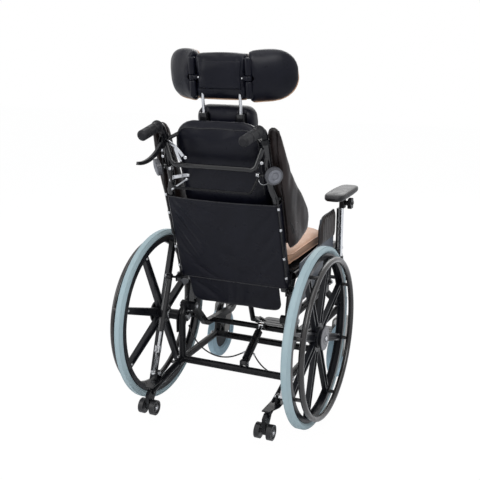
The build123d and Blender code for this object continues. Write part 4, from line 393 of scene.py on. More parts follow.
for hand, sign in SIDES:
    dress(banded(f"caster_moulding_{hand}", (0.009, 0.009, 0.011), (0.37, 0.52, 0.6), 0.062,
                 (sign * CASTER_X, CASTER_Y, CASTER_Z)), "caster_wheel_" + hand)
    dress(banded(f"roller_moulding_{hand}", (0.03, 0.03, 0.033), (0.009, 0.009, 0.0105), 0.018,
                 (sign * ROLLER_X, ROLLER_Y, ROLLER_Z), 0.33), "anti_tip_rollers_" + hand)
    for side in (-1, 1):
        where = f"{hand}_{'inner' if side * sign < 0 else 'outer'}"
        bolt_head("caster_bolt_" + where, (sign * CASTER_X + side * 0.0302, CASTER_Y, CASTER_Z), (side, 0, 0),
                  0.016, "caster_fork_" + hand)
        fit(turned("roller_cap_" + where, [(0.0062, 0), (0.0062, 0.0012), (0.005, 0.0024), (0.0002, 0.0027)],
                   (sign * ROLLER_X + side * 0.0285, ROLLER_Y, ROLLER_Z), (side, 0, 0), 20),
            zinc_plate, "base")

# ---------------------------------------------------------------- tilt springs and centre strut
# Two lockable gas springs stand beside the seat and a thicker damper runs along the middle. Their cylinders are
# black enamelled tube and their rods are ground and chromed.
chromed_rod = coated("chromed_rod", (0.72, 0.73, 0.75), (0.8, 0.8, 0.8), wear=0.2, roughness=0.1, ripple=200.0,
                     bump=0.00001, metallic=1.0)
cylinder_enamel = coated("cylinder_enamel", (0.005, 0.0052, 0.0065), (0.1, 0.1, 0.1), wear=0.2, roughness=0.17,
                         coat=0.3, specular=0.35)
dress(cylinder_enamel, *both("tilt_spring_body"), "centre_strut_body", "back_frame")
dress(chromed_rod, "centre_strut_rod", *both("arm_post"), "headrest_posts")
for hand, sign in SIDES:
    bolt_head(f"spring_top_bolt_{hand}", (sign * 0.2435, 0.044, 0.455), (sign, 0, 0), 0.014, "seat")
    bolt_head(f"spring_foot_bolt_{hand}", (sign * 0.2405, 0.165, 0.146), (sign, 0, 0), 0.014, "base")
    bolt_head(f"tilt_pivot_bolt_{hand}", (sign * 0.2145, -0.012, 0.338), (sign, 0, 0), 0.02, "base")

# ---------------------------------------------------------------- seat cushion
# A block of upholstery foam in a tan leatherette cover: a crowned top panel, drawn-in side bands, and a sewn welt
# round the top and bottom edges. It sits on the seat pan between the side panels.

# leatherette: pebbled grain with fine creases, a painted highlight that lightens the colour on the crests of the
# broad folds, and duller where it is rubbed
grain_group, grain_in, grain_out = shared_group(
    "leatherette_grain",
    [("Colour", (0.02, 0.02, 0.02, 1)), ("Crease Colour", (0.05, 0.05, 0.05, 1)), ("Scale", 520.0),
     ("Roughness", 0.42), ("Crease", 1.0), ("Fold", 0.5)], ["Colour", "Roughness", "Height"],
)
grain_place = add_node(grain_group, "TexCoord")
grain_bend = add_node(grain_group, "TexNoise", Scale=40.0, Detail=2.0)
grain_warp = add_node(grain_group, "VectorMath", {"operation": "MULTIPLY_ADD"})
grain_warp.inputs[1].default_value = (0.004, 0.004, 0.004)
grain_cells = add_node(grain_group, "TexVoronoi", {"feature": "DISTANCE_TO_EDGE"})
grain_wrinkle = add_node(grain_group, "TexNoise", Scale=85.0, Detail=6.0, Roughness=0.7, Distortion=1.4)
grain_cut, grain_wrinkle_cut = ramp(grain_group, 0.0, 0.16), ramp(grain_group, 0.46, 0.5)
grain_folds = add_node(grain_group, "TexNoise", Scale=7.0, Detail=4.0, Roughness=0.55, Distortion=0.8)
grain_patch = add_node(grain_group, "TexNoise", Scale=16.0, Detail=5.0, Roughness=0.65)
grain_patch_cut, grain_fold_highlight = ramp(grain_group, 0.35, 0.72, -0.07, 0.12), ramp(grain_group, 0.32, 0.72)
grain_highlight_share, grain_crease = (add_node(grain_group, "Math", {"operation": "MULTIPLY"}) for _ in range(2))
grain_sum, grain_total = (add_node(grain_group, "Math", {"operation": "MULTIPLY_ADD"}) for _ in range(2))
grain_sum.inputs[1].default_value = 1.3
grain_total.inputs[1].default_value = 14.0
grain_rough = add_node(grain_group, "Math", {"operation": "ADD"})
wire(grain_group, (grain_place, "Object", grain_bend, "Vector"), (grain_place, "Object", grain_wrinkle, "Vector"),
     (grain_place, "Object", grain_folds, "Vector"), (grain_place, "Object", grain_patch, "Vector"),
     (grain_bend, "Color", grain_warp, 0), (grain_place, "Object", grain_warp, 2),
     (grain_warp, 0, grain_cells, "Vector"), (grain_in, "Scale", grain_cells, "Scale"),
     (grain_cells, "Distance", grain_cut, "Value"), (grain_wrinkle, 0, grain_wrinkle_cut, "Value"),
     (grain_wrinkle_cut, 0, grain_crease, 0), (grain_in, "Crease", grain_crease, 1), (grain_crease, 0, grain_sum, 0),
     (grain_cut, 0, grain_sum, 2), (grain_folds, 0, grain_total, 0), (grain_sum, 0, grain_total, 2),
     (grain_total, 0, grain_out, "Height"), (grain_patch, 0, grain_patch_cut, "Value"),
     (grain_patch_cut, 0, grain_rough, 0), (grain_in, "Roughness", grain_rough, 1),
     (grain_rough, 0, grain_out, "Roughness"), (grain_folds, 0, grain_fold_highlight, "Value"),
     (grain_fold_highlight, 0, grain_highlight_share, 0), (grain_in, "Fold", grain_highlight_share, 1))
# painted highlight: the colour turns towards the highlight colour on the crests of the broad folds
grain_group.links.new(mix_colour(grain_group, grain_highlight_share.outputs[0], grain_in.outputs["Colour"],
                                 grain_in.outputs["Crease Colour"]), grain_out.inputs["Colour"])


def leatherette(name, colour, highlight_colour, roughness, wrinkles=1.0, fold=0.6, sheen=0.15, specular=0.5, coat=0.0):
    """Vinyl-coated cover cloth, with a painted highlight in the second colour on its raised folds, as strong as fold.
    """
    material, tree, shader = plain_material(name, Sheen_Weight=sheen, Sheen_Roughness=0.5, Coat_Weight=coat,
                                            Specular_IOR_Level=specular, Coat_Roughness=0.3)
    surface_from(tree, shader, grain_group, 0.7, 0.00009, Colour=(*colour, 1), Crease_Colour=(*highlight_colour, 1),
                 Scale=520.0, Roughness=roughness, Crease=wrinkles, Fold=fold)
    return material


# the second colour of each tan leatherette is the painted highlight on its raised folds
tan_cover = leatherette("tan_cover", (0.46, 0.25, 0.15), (0.6, 0.36, 0.23), roughness=0.5, fold=0.5)
tan_welt = leatherette("tan_welt", (0.5, 0.27, 0.16), (0.62, 0.38, 0.25), roughness=0.45, wrinkles=0.2, fold=0.2)


def lofted(name, rings, smooth=True):
    """Closed body through rings of points, all of one count, with its ends closed."""
    count = len(rings[0])
    points = [p for loop in rings for p in loop]
    faces = hoops(len(rings), count)
    for first in (0, len(points) - count):
        points.append(sum((Vector(p) for p in points[first:first + count]), Vector()) / count)
        faces += [(first + k, first + (k + 1) % count, len(points) - 1) for k in range(count)]
    return solid_from(name, points, faces, smooth)


def rounded_loop(half_across, half_up, power, steps):
    """Superellipse, as (across, up) pairs."""
    turns = [2 * pi * (k + 0.5) / steps for k in range(steps)]
    return [tuple(half * copysign(abs(part) ** (2 / power), part)
                  for half, part in ((half_across, cos(a)), (half_up, sin(a)))) for a in turns]


def round_end(t, power, least=0.0):
    """Share of its thickness that a body keeps at t, which runs from -1 at one end to 1 at the other."""
    return max(least, 1 - abs(t) ** power) ** 0.5


def clamped(value):
    return max(0.0, min(1.0, value))


def applied(body, modifier):
    bpy.context.view_layer.objects.active = body
    with bpy.context.temp_override(object=body, active_object=body):
        bpy.ops.object.modifier_apply(modifier=modifier.name)


def stuffed(body, cap, voxel, smooth_turns=3):
    """Swells a cover with cloth pressure, keeps each point within cap of where it was cut, and rounds it."""
    remesh = body.modifiers.new("remesh", "REMESH")
    remesh.mode = "VOXEL"
    remesh.voxel_size = voxel
    applied(body, remesh)
    cut = np.array([v.co for v in body.data.vertices])
    cloth = body.modifiers.new("cloth", "CLOTH")
    for label, value in (
        ("quality", 5), ("mass", 0.25), ("tension_stiffness", 18), ("compression_stiffness", 10),
        ("shear_stiffness", 8), ("bending_stiffness", 0.7), ("use_pressure", True),
        ("uniform_pressure_force", 4.0),
    ):
        setattr(cloth.settings, label, value)
    cloth.settings.effector_weights.gravity = 0
    cloth.collision_settings.use_collision = cloth.collision_settings.use_self_collision = False
    cloth.point_cache.frame_start, cloth.point_cache.frame_end = 1, 20
    for step in range(1, 21):
        bpy.context.scene.frame_set(step)
    evaluated = body.evaluated_get(bpy.context.evaluated_depsgraph_get())
    shift = np.array([v.co for v in evaluated.data.vertices]) - cut
    body.modifiers.remove(cloth)
    bpy.context.scene.frame_set(1)
    far = np.linalg.norm(shift, axis=1)[:, None]
    cut = cut + shift * np.minimum(1.0, cap / np.maximum(far, 1e-9))
    body.data.vertices.foreach_set("co", cut.astype(np.float32).ravel())
    shell = bmesh.new()
    shell.from_mesh(body.data)
    for _ in range(smooth_turns):
        bmesh.ops.smooth_vert(shell, verts=shell.verts, factor=0.5, use_axis_x=True, use_axis_y=True, use_axis_z=True)
    shell.to_mesh(body.data)
    shell.free()
    body.data.polygons.foreach_set("use_smooth", [True] * len(body.data.polygons))
    body.data.update()
    return body


def pulled(body, rule):
    """Moves every point of a cover by rule(point), in place: tucks, folds and sewn channels."""
    for vertex in body.data.vertices:
        vertex.co = vertex.co + Vector(rule(vertex.co))
    body.data.update()


def surface_of(body):
    return BVHTree.FromPolygons([v.co.copy() for v in body.data.vertices],
                                [tuple(p.vertices) for p in body.data.polygons])


def laid(tree, points, lift):
    """The points, moved onto a cover and lifted off it by lift."""
    found = [tree.find_nearest(Vector(point), 0.05) for point in points]
    return [spot + normal * lift for spot, normal, _, _ in found if spot is not None]


def bar(name, points, radius, sides, detail, closed=False):
    """Round bar whose middle line is one smooth spline steered by the points."""
    curve = bpy.data.curves.new(name, "CURVE")
    curve.dimensions = "3D"
    curve.bevel_depth = radius
    curve.bevel_resolution = sides
    line = curve.splines.new("NURBS")
    line.points.add(len(points) - 1)
    for spot, point in zip(line.points, points):
        spot.co = (*point, 1)
    line.order_u = 3
    line.use_endpoint_u = not closed
    line.use_cyclic_u = closed
    curve.resolution_u = detail
    made = bpy.data.objects.new(name, curve)
    bpy.context.scene.collection.objects.link(made)
    return made


def welt(name, points, radius, material, body, closed=False, sides=3):
    """Round sewn welt or cord along points."""
    return fit(bar(name, points, radius, sides, 4, closed), material, body)


def finer(row, parts):
    """The points of a row with others set evenly between them."""
    return [start.lerp(end, k / parts) for start, end in zip(row, row[1:]) for k in range(parts)]


STITCH_PITCH, STITCH_LONG, STITCH_R = 0.0055, 0.0034, 0.00055


def stitches(name, points, material, body):
    """Row of thread stitches along points, half sunk in the cover."""
    verts, faces = [], []
    step = 0.0
    for start, end in zip(points, points[1:]):
        run = end - start
        if run.length < 1e-6:
            continue
        way = run.normalized()
        side = way.orthogonal().normalized()
        up = way.cross(side)
        while step < run.length:
            middle = start + way * step
            first = len(verts)
            for along, size in ((-0.5, 0.35), (-0.28, 1.0), (0.28, 1.0), (0.5, 0.35)):
                verts += [middle + way * STITCH_LONG * along
                          + (side * cos(pi * k / 3) + up * sin(pi * k / 3)) * STITCH_R * size for k in range(6)]
            faces += [tuple(first + corner for corner in face)
                      for face in hoops(4, 6) + [tuple(range(6)), tuple(range(18, 24))]]
            step += STITCH_PITCH
        step -= run.length
    return fit(solid_from(name, verts, faces), material, body)


SEAT_LOW, SEAT_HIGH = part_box("seat_cushion")
seat_depth = SEAT_HIGH.y - SEAT_LOW.y
seat_rings = []
for part in (0.006, 0.02, 0.06, 0.16, 0.34, 0.52, 0.70, 0.84, 0.93, 0.975, 0.994):
    swell = round_end(2 * part - 1, 9)
    tall = (SEAT_HIGH.z - SEAT_LOW.z) - 0.010 - (0.012 if part < 0.1 else 0.0)
    nose = 0.008 * max(0.0, (0.25 - part) / 0.25) ** 1.6
    middle_z = SEAT_LOW.z + 0.002 + tall / 2 - nose
    seat_rings.append([
        Vector((x, SEAT_LOW.y + part * seat_depth, middle_z + z + 0.006 * (1 - (x / 0.2) ** 2) * (z > 0)))
        for x, z in rounded_loop(0.190 * (0.94 + 0.06 * swell), tall / 2 * (0.7 + 0.3 * swell), 5.5, 64)
    ])
seat_pad = fit(stuffed(lofted("seat_pad", seat_rings), 0.006, 0.007), tan_cover, "seat",
               "seat_cushion")
seat_skin = surface_of(seat_pad)
for label, level in (("top", SEAT_HIGH.z - 0.012), ("bottom", SEAT_LOW.z + 0.011)):
    edge = [(x, (SEAT_LOW.y + SEAT_HIGH.y) / 2 + y, level)
            for x, y in rounded_loop(0.197, seat_depth / 2 - 0.002, 9, 120)]
    welt(f"seat_welt_{label}", laid(seat_skin, edge, 0.0006), 0.0021, tan_welt, "seat", True)

# ---------------------------------------------------------------- side panels and armrests
# A thin grey plate keeps clothing off the wheel. Above it stands a padded brown panel with a darker bound edge, and
# the moulded arm pad rides on a chromed post with a star knob.
plate_plastic = moulded("plate_plastic", (0.06, 0.073, 0.095), roughness=0.38, specular=0.4)
# the second colour of each brown leatherette is the painted highlight on its raised folds
brown_cover = leatherette("brown_cover", (0.014, 0.0098, 0.0092), (0.034, 0.0245, 0.0225), roughness=0.34, fold=0.8,
                          sheen=0.02, specular=0.22)
brown_edge = leatherette("brown_edge", (0.009, 0.0088, 0.0105), (0.028, 0.027, 0.031), roughness=0.34, wrinkles=0.3,
                         sheen=0.03, specular=0.3)
arm_skin = moulded("arm_skin", (0.0085, 0.0082, 0.0095), roughness=0.38, grain=700.0, bump=0.00007, mottled=0.3,
                   tint=(0.02, 0.0195, 0.0215), specular=0.25)
knob_plastic = moulded("knob_plastic", (0.008, 0.0082, 0.0095), roughness=0.3, specular=0.35)
dress(knob_plastic, *both("arm_knob"), *both("footplate"), "hand_lever")
dress(arm_skin, *both("arm_pad"))
# the plate's outline and the padded panel's bound edge, in y and z
PLATE = ((-0.003, 0.434), (-0.035, 0.402), (-0.325, 0.402), (-0.372, 0.440), (-0.372, 0.642), (-0.217, 0.642),
         (-0.205, 0.552), (-0.015, 0.540))
PANEL_EDGE = ((-0.371, 0.552), (-0.371, 0.58), (-0.371, 0.61), (-0.371, 0.64), (-0.366, 0.650), (-0.34, 0.651),
              (-0.30, 0.651), (-0.26, 0.651), (-0.238, 0.648), (-0.222, 0.634), (-0.208, 0.618), (-0.2035, 0.60),
              (-0.203, 0.57), (-0.203, 0.552))
PANEL_X, PANEL_FRONT, ARM_X = 0.2208, -0.3712, 0.245


def rounded_outline(corners, radius):
    """Closed outline with each corner rounded in five steps."""
    made = []
    for k, corner in enumerate(corners):
        here = Vector(corner)
        before, after = Vector(corners[k - 1]) - here, Vector(corners[(k + 1) % len(corners)]) - here
        cut = radius / tan(before.angle(after) / 2)
        start, end = here + before.normalized() * cut, here + after.normalized() * cut
        made += [start * (1 - t) ** 2 + here * 2 * t * (1 - t) + end * t * t
                 for t in (j / 5 for j in range(6))]
    return made


for hand, sign in SIDES:
    # the plate, with a softened edge all round
    plate_rings = [
        [Vector((sign * x, y - inset * (1 if y > -0.19 else -1), z - inset * (1 if z > 0.52 else -1)))
         for y, z in rounded_outline(PLATE, 0.009)]
        for x, inset in ((0.2178, 0.0006), (0.2182, 0.0), (0.2204, 0.0), (0.2208, 0.0006))
    ]
    fit(lofted(f"side_plate_{hand}", plate_rings, smooth=False), plate_plastic, "seat",
        "side_panels" if sign > 0 else None)
    # the padded panel, crowned on both faces, with shallow upright folds
    rings = []
    for part in (0.0, 0.015, 0.05, 0.12, 0.25, 0.4, 0.55, 0.7, 0.82, 0.92, 0.97, 0.99, 1.0):
        z = 0.5475 + 0.1035 * part
        rear = -0.203 if z < 0.618 else -0.2065 - (z - 0.618) * 1.03
        rings.append([Vector((sign * PANEL_X + x, (PANEL_FRONT + rear) / 2 + y, z))
                      for x, y in rounded_loop(0.0073 * round_end(2 * part - 1, 6, 0.02),
                                               (rear - PANEL_FRONT) / 2 - 0.001, 5, 48)])
    side_pad = stuffed(lofted(f"side_pad_{hand}", rings), 0.003, 0.005, 2)
    pulled(side_pad, lambda p: (0.0011 * sin(p.y * 330 + 9 * p.z) * (1 if p.x > 0 else -1), 0, 0))
    fit(side_pad, brown_cover, "seat")
    edge = laid(surface_of(side_pad), [(sign * PANEL_X, y, z) for y, z in PANEL_EDGE], 0.0008)
    welt(f"side_binding_{hand}", edge, 0.0032, brown_edge, "seat")
    # arm pad: moulded skin over foam, rounded all round
    rings = []
    for part in (0.0, 0.012, 0.04, 0.1, 0.2, 0.34, 0.5, 0.66, 0.8, 0.9, 0.96, 0.988, 1.0):
        wide, high = (float(np.interp(part, (0, 0.1, 0.45, 0.8, 1), sizes)) for sizes in (
            (0.78, 0.98, 1.01, 0.9, 0.62), (0.020, 0.0282, 0.0305, 0.0282, 0.0195)))
        end = round_end(2 * part - 1, 14, 0.015)
        rings.append([Vector((sign * ARM_X + x, -0.2585 - 0.2620 * part, 0.6950 + high / 2 + z))
                      for x, z in rounded_loop(0.0372 * wide * (0.35 + 0.65 * end), high / 2 * (0.3 + 0.7 * end),
                                               3.4, 48)])
    arm_top = lofted(f"arm_rest_{hand}", rings)
    round_off = arm_top.modifiers.new("rounded", "SUBSURF")
    round_off.levels = round_off.render_levels = 1
    fit(arm_top, arm_skin, "arm_" + hand)
    # the star knob's cap, and the plated screws of the post's sleeve
    bolt_head(f"arm_knob_cap_{hand}", (sign * 0.2829, -0.385, 0.672), (sign, 0, 0), 0.012, "arm_knob_" + hand,
              knob_plastic)
    for number, z in enumerate((0.412, 0.46)):
        bolt_head(f"sleeve_screw_{hand}_{number + 1}", (sign * 0.2558, -0.385, z), (sign, 0, 0), 0.008, "seat")

# ---------------------------------------------------------------- legrests and footplates
# The hangers are bent from the same painted tube and bolted to the seat frame. The footplates are ribbed black
# nylon on a steel hinge.
for hand, sign in SIDES:
    bolt_head(f"hanger_bolt_{hand}", (sign * 0.221, -0.478, 0.478), (sign, 0, 0), 0.015, "seat")
    for number in range(4):
        rib = [[Vector((sign * 0.101 + side * 0.062, -0.578 - 0.026 * number + across, 0.0718 + up))
                for across, up in rounded_loop(0.0022, 0.0014, 2.4, 12)] for side in (-1, -0.97, 0.97, 1)]
        fit(lofted(f"tread_rib_{hand}_{number + 1}", rib), knob_plastic, "footplate_" + hand)

# ---------------------------------------------------------------- back frame and release bar
# Two canes lean back from the seat, joined near the top by a bent bow. The release bar hangs from pins on the
# canes, and a zinc-plated coil spring on each pin lifts it again. A latch arm and a cable bracket are bolted on.
LEAN, HEAD_LEAN = radians(17.4), radians(7.0)


def leaning(y, z, lean):
    """Maps of a part that leans back: (x, n behind it, h up along it) to a point, and a point to (n, h)."""
    c, s = cos(lean), sin(lean)
    return (lambda x, n, h: Vector((x, y + n * c + h * s, z - n * s + h * c)),
            lambda p: ((p.y - y) * c - (p.z - z) * s, (p.y - y) * s + (p.z - z) * c))


# the back from its hinge, and the headrest from the tops of its guides
in_back, back_place = leaning(0.012, 0.457, LEAN)
in_headrest, head_place = leaning(0.104, 1.026, HEAD_LEAN)
BACK_UP, BACK_OUT = in_back(0, 0, 1) - in_back(0, 0, 0), (0, cos(LEAN), -sin(LEAN))


def in_backs(*places):
    return [in_back(*place) for place in places]


def wound(name, middle, radius, gauge, turns, pitch):
    """Coil spring of zinc-plated wire, wound about a line along X."""
    way = Vector((1, 0, 0))
    across = way.orthogonal().normalized()
    up = way.cross(across)
    path = [middle + way * (pitch * (k / 16 - turns / 2)) + (across * cos(pi * k / 8) + up * sin(pi * k / 8)) * radius
            for k in range(turns * 16 + 1)]
    welt(name, path, gauge, zinc_plate, "back", sides=2)


for hand, sign in SIDES:
    wound(f"release_spring_{hand}", in_back(sign * 0.1485, 0.030, 0.425), 0.0068, 0.0008, 5, 0.0019)
    bolt_head(f"bow_screw_{hand}", in_back(sign * 0.166, 0.0345, 0.4685), (sign * 0.35, cos(LEAN), -0.3), 0.011,
              "back")
    bolt_head(f"recline_bolt_{hand}", (sign * 0.2139, 0.012, 0.457), (sign, 0, 0), 0.016, "back")


def flat_strip(name, path, half_wide, thick, wide_way):
    """Bent zinc-plated strip along path, its width along wide_way."""
    rings = []
    for k, spot in enumerate(path):
        way = (path[min(k + 1, len(path) - 1)] - path[max(k - 1, 0)]).normalized()
        side = (wide_way - way * wide_way.dot(way)).normalized()
        up = way.cross(side)
        rings.append([spot + side * a * half_wide + up * b * thick / 2
                      for a, b in ((-1, -1), (1, -1), (1, 1), (-1, 1))])
    made = lofted(name, rings, smooth=False)
    edge = made.modifiers.new("rounded", "BEVEL")
    edge.width = 0.0004
    edge.segments = 2
    fit(made, zinc_plate, "back")


latch_from, latch_to = in_backs((0.167, 0.018, 0.343), (0.093, 0.033, 0.396))
latch_way = latch_to - latch_from
long = latch_way.length
fit(turned("latch_arm", [(0.0022, 0), (0.0034, 0.0006), (0.0036, 0.006), (0.0030, 0.008), (0.0030, long - 0.014),
                         (0.0040, long - 0.012), (0.0042, long - 0.001), (0.0030, long)],
           latch_from, latch_way, 24), zinc_plate, "back")
flat_strip("latch_plate", in_backs((0.170, 0.016, 0.372), (0.150, 0.026, 0.392), (0.118, 0.031, 0.402),
                                   (0.086, 0.033, 0.409)), 0.0055, 0.002, BACK_UP)
for number, (x, n, h) in enumerate(((0.087, 0.0345, 0.410), (0.115, 0.0325, 0.404), (0.150, 0.0275, 0.392))):
    bolt_head(f"latch_bolt_{number + 1}", in_back(x, n, h), BACK_OUT, 0.0095, "back")
flat_strip("cable_bracket", in_backs((0.160, 0.014, 0.512), (0.140, 0.026, 0.514), (0.118, 0.033, 0.505),
                                     (0.103, 0.036, 0.488), (0.094, 0.036, 0.474)), 0.0060, 0.0022, BACK_UP)
flat_strip("cable_saddle", in_backs((0.118, 0.034, 0.498), (0.112, 0.036, 0.476), (0.106, 0.035, 0.455)),
           0.0050, 0.0022, Vector((1, 0, 0)))
bolt_head("cable_bracket_bolt", in_back(0.086, 0.0365, 0.470), BACK_OUT, 0.012, "back")
welt("return_hook", in_backs((-0.1485, 0.030, 0.414), (-0.150, 0.036, 0.404), (-0.158, 0.034, 0.396),
                             (-0.166, 0.026, 0.392), (-0.170, 0.014, 0.394)), 0.0011, zinc_plate, "back")

# ---------------------------------------------------------------- push handles, clamp discs and hand lever
# Sprung steel tubes slide in the canes and carry ribbed rubber grips. A grey moulded disc on each side screws in to
# lock them, and the lever under the left grip works the back's release cable.
grip_rubber = moulded("grip_rubber", (0.0075, 0.0077, 0.0092), roughness=0.5, grain=900.0, bump=0.00012,
                      specular=0.2, mottled=0.4, tint=(0.02, 0.02, 0.023))
disc_grey = moulded("disc_grey", (0.13, 0.135, 0.155), roughness=0.38, mottled=0.3, tint=(0.17, 0.175, 0.19))
disc_dark = moulded("disc_dark", (0.052, 0.054, 0.062), roughness=0.36, mottled=0.3, tint=(0.075, 0.076, 0.084))
dress(grip_rubber, *both("grip"))
dress(disc_dark, *both("handle_knob"))
RIM_STEPS = 144
for hand, sign in SIDES:
    # the clamp disc's rounded, fluted rim and its round cap
    centre = in_back(sign * 0.197, 0.027, 0.425)
    outward = (centre - in_back(sign * 0.170, 0, 0.425)).normalized()
    across = outward.cross(Vector((0, 0, 1))).normalized()
    up = outward.cross(across)
    rim_points = []
    for height, grow in ((-0.0062, -0.0026), (-0.0052, -0.0004), (-0.0025, 0.0006), (0.0025, 0.0006),
                         (0.0055, -0.0003), (0.0072, -0.0026), (0.0074, -0.0052), (0.0066, -0.006)):
        for a in (2 * pi * k / RIM_STEPS for k in range(RIM_STEPS)):
            flute = -0.0011 * (0.5 - 0.5 * cos(24 * a)) ** 3 if -0.006 < height < 0.007 else 0.0
            rim_points.append(centre + outward * height + (across * cos(a) + up * sin(a)) * (0.027 + grow + flute))
    ends = [tuple(range(RIM_STEPS)), tuple(range(7 * RIM_STEPS, 8 * RIM_STEPS))]
    fit(solid_from(f"disc_rim_{hand}", rim_points, hoops(8, RIM_STEPS) + ends), disc_dark, "handle_knob_" + hand)
    fit(turned(
        f"disc_cap_{hand}", [(0.0212, 0.0), (0.0215, 0.0012), (0.0200, 0.0024), (0.0125, 0.0027), (0.0116, 0.0008),
                             (0.0104, 0.0007), (0.0098, 0.0018), (0.0002, 0.0021)],
        centre + outward * 0.0066, outward, 48,
    ), disc_grey, "handle_knob_" + hand)
bolt_head("lever_pivot_screw", in_back(0.1753, 0.030, 0.505), (1, 0, 0), 0.009, "push_handle_left")

# ---------------------------------------------------------------- back cushion
# Moulded foam with lumbar and neck swells in a black leatherette cover, closed with a border strip round its rear
# panel. It hangs on the back frame, and slots in its top let the headrest guides through.
# the second colour of each black leatherette is the painted highlight on its raised folds
black_cover = leatherette("black_cover", (0.0034, 0.0037, 0.0074), (0.0082, 0.0088, 0.0150), roughness=0.32,
                          sheen=0.0, coat=0.10, specular=0.10, wrinkles=0.45)
black_welt = leatherette("black_welt", (0.0062, 0.0064, 0.009), (0.014, 0.0145, 0.019), roughness=0.3, wrinkles=0.2,
                         sheen=0.02, coat=0.1, specular=0.3)
black_thread = moulded("black_thread", (0.018, 0.018, 0.022), roughness=0.6, grain=1500.0, bump=0.0001,
                       specular=0.25)
POST_X = 0.063


def slotted(body, cutters):
    """Cuts straight round slots through a cover: (start, end, radius) each."""
    for number, (start, end, radius) in enumerate(cutters):
        way = end - start
        tool = turned(f"slot_tool_{number}", [(radius, 0), (radius, way.length)], start, way, 20)
        cut = body.modifiers.new("slot", "BOOLEAN")
        cut.operation = "DIFFERENCE"
        cut.solver = "EXACT"
        cut.object = tool
        applied(body, cut)
        mesh = tool.data
        bpy.data.objects.remove(tool)
        bpy.data.meshes.remove(mesh)
    return body


def post_slots(side, *runs):
    """Slots round one headrest post, each from a height to another with a radius."""
    return [(in_headrest(side * POST_X, 0, low), in_headrest(side * POST_X, 0, high), r) for low, high, r in runs]


def read_off(line, at):
    """Value at a place of a line of (place, value) pairs."""
    return float(np.interp(at, *zip(*line)))


# the cushion's front, its rear and its half width, up the back
BACK_FRONT = ((0.112, -0.080), (0.122, -0.096), (0.150, -0.109), (0.180, -0.1155), (0.250, -0.1155),
              (0.330, -0.1085), (0.420, -0.1035), (0.470, -0.094), (0.500, -0.085), (0.536, -0.071),
              (0.556, -0.055), (0.566, -0.046))
BACK_BEHIND = ((0.112, -0.0135), (0.524, -0.0135), (0.539, -0.0155), (0.554, -0.021), (0.562, -0.029),
               (0.566, -0.036))
BACK_HALF = ((0.112, 0.1570), (0.449, 0.1605), (0.474, 0.1600), (0.499, 0.1565), (0.521, 0.1495), (0.539, 0.1390),
             (0.552, 0.1255), (0.561, 0.1080), (0.566, 0.0880))
back_rings = []
for h in (0.1135, 0.117, 0.126, 0.145, 0.18, 0.22, 0.27, 0.32, 0.37, 0.42, 0.455, 0.482, 0.503, 0.520, 0.535, 0.546,
          0.555, 0.561, 0.5655):
    front, behind = read_off(BACK_FRONT, h), read_off(BACK_BEHIND, h)
    half = read_off(BACK_HALF, h) * (0.92 + 0.08 * min(1.0, (h - 0.112) / 0.012))
    crown = min(0.024, 0.35 * (behind - front))
    back_rings.append([
        in_back(x, (front + behind) / 2 + n - 0.5 * crown * (0.45 - (x / half) ** 2) * (n < 0), h)
        for x, n in rounded_loop(half, (behind - front) / 2, 5.0, 72)
    ])
back_pad = stuffed(lofted("back_pad", back_rings), 0.006, 0.0065)

# the rear panel's outline: its half width, its top, and the round of its upper corners
PANEL_HALF, PANEL_TOP, PANEL_ROUND = 0.1605, 0.566, 0.060
PANEL_TURN_X, PANEL_TURN_H = PANEL_HALF - PANEL_ROUND, PANEL_TOP - PANEL_ROUND


def back_tucks(p):
    """Sewn channel above the lumbar swell and shallow pulls along the border seams."""
    n, h = back_place(p)
    over, up = abs(p.x) - PANEL_TURN_X, h - PANEL_TURN_H
    # how far inside the rear panel's outline the point lies
    edge = PANEL_ROUND - hypot(over, up) if over > 0 and up > 0 else min(PANEL_HALF - abs(p.x), PANEL_TOP - h)
    rear = clamped((n + 0.045) / 0.025)
    seam = exp(-((edge - 0.0115) / 0.0035) ** 2) * rear * 0.0022
    pucker = 0.0006 * sin(h * 210 + 2 * sin(p.x * 60)) * rear * max(0.0, (abs(p.x) - 0.10) / 0.05)
    front = (1 - rear) * exp(-((h - 0.305) / 0.005) ** 2) * 0.004
    shift = -seam + pucker + front
    return (0, shift * cos(LEAN), -shift * sin(LEAN))


pulled(back_pad, back_tucks)
slotted(back_pad, [cutter for side in (-1, 1) for cutter in (
    *post_slots(side, (-0.1005, 0.05, 0.0056), (-0.0308, 0.05, 0.0170)),
    (in_headrest(side * POST_X, 0, -0.022), in_back(side * 0.170, -0.002, 0.508), 0.0066),
)])
fit(back_pad, black_cover, "back", "back_cushion")
back_skin = surface_of(back_pad)


def panel_line(inset):
    """Points along the rear panel's outline, inset from its edge, from one side over the top to the other."""
    arc = PANEL_ROUND - inset
    side = [(PANEL_HALF - inset, h) for h in np.linspace(0.499, 0.33, 9)]
    turn = [(PANEL_TURN_X + arc * sin(a), PANEL_TURN_H + arc * cos(a)) for a in np.linspace(0, pi / 2, 9)]
    top = [(x, PANEL_TOP - inset) for x in np.linspace(-0.085, 0.085, 9)]
    far = [(-x, h) for x, h in reversed(turn + side)]
    return [in_back(float(x), 0.0, float(h)) for x, h in far + top + turn + side]


welt("back_border", laid(back_skin, panel_line(0.0105), 0.0004), 0.0018, black_welt, "back")
for label, inset in (("outer", 0.0065), ("inner", 0.0150)):
    stitches(f"back_stitching_{label}", laid(back_skin, finer(panel_line(inset), 4), 0.0001), black_thread, "back")

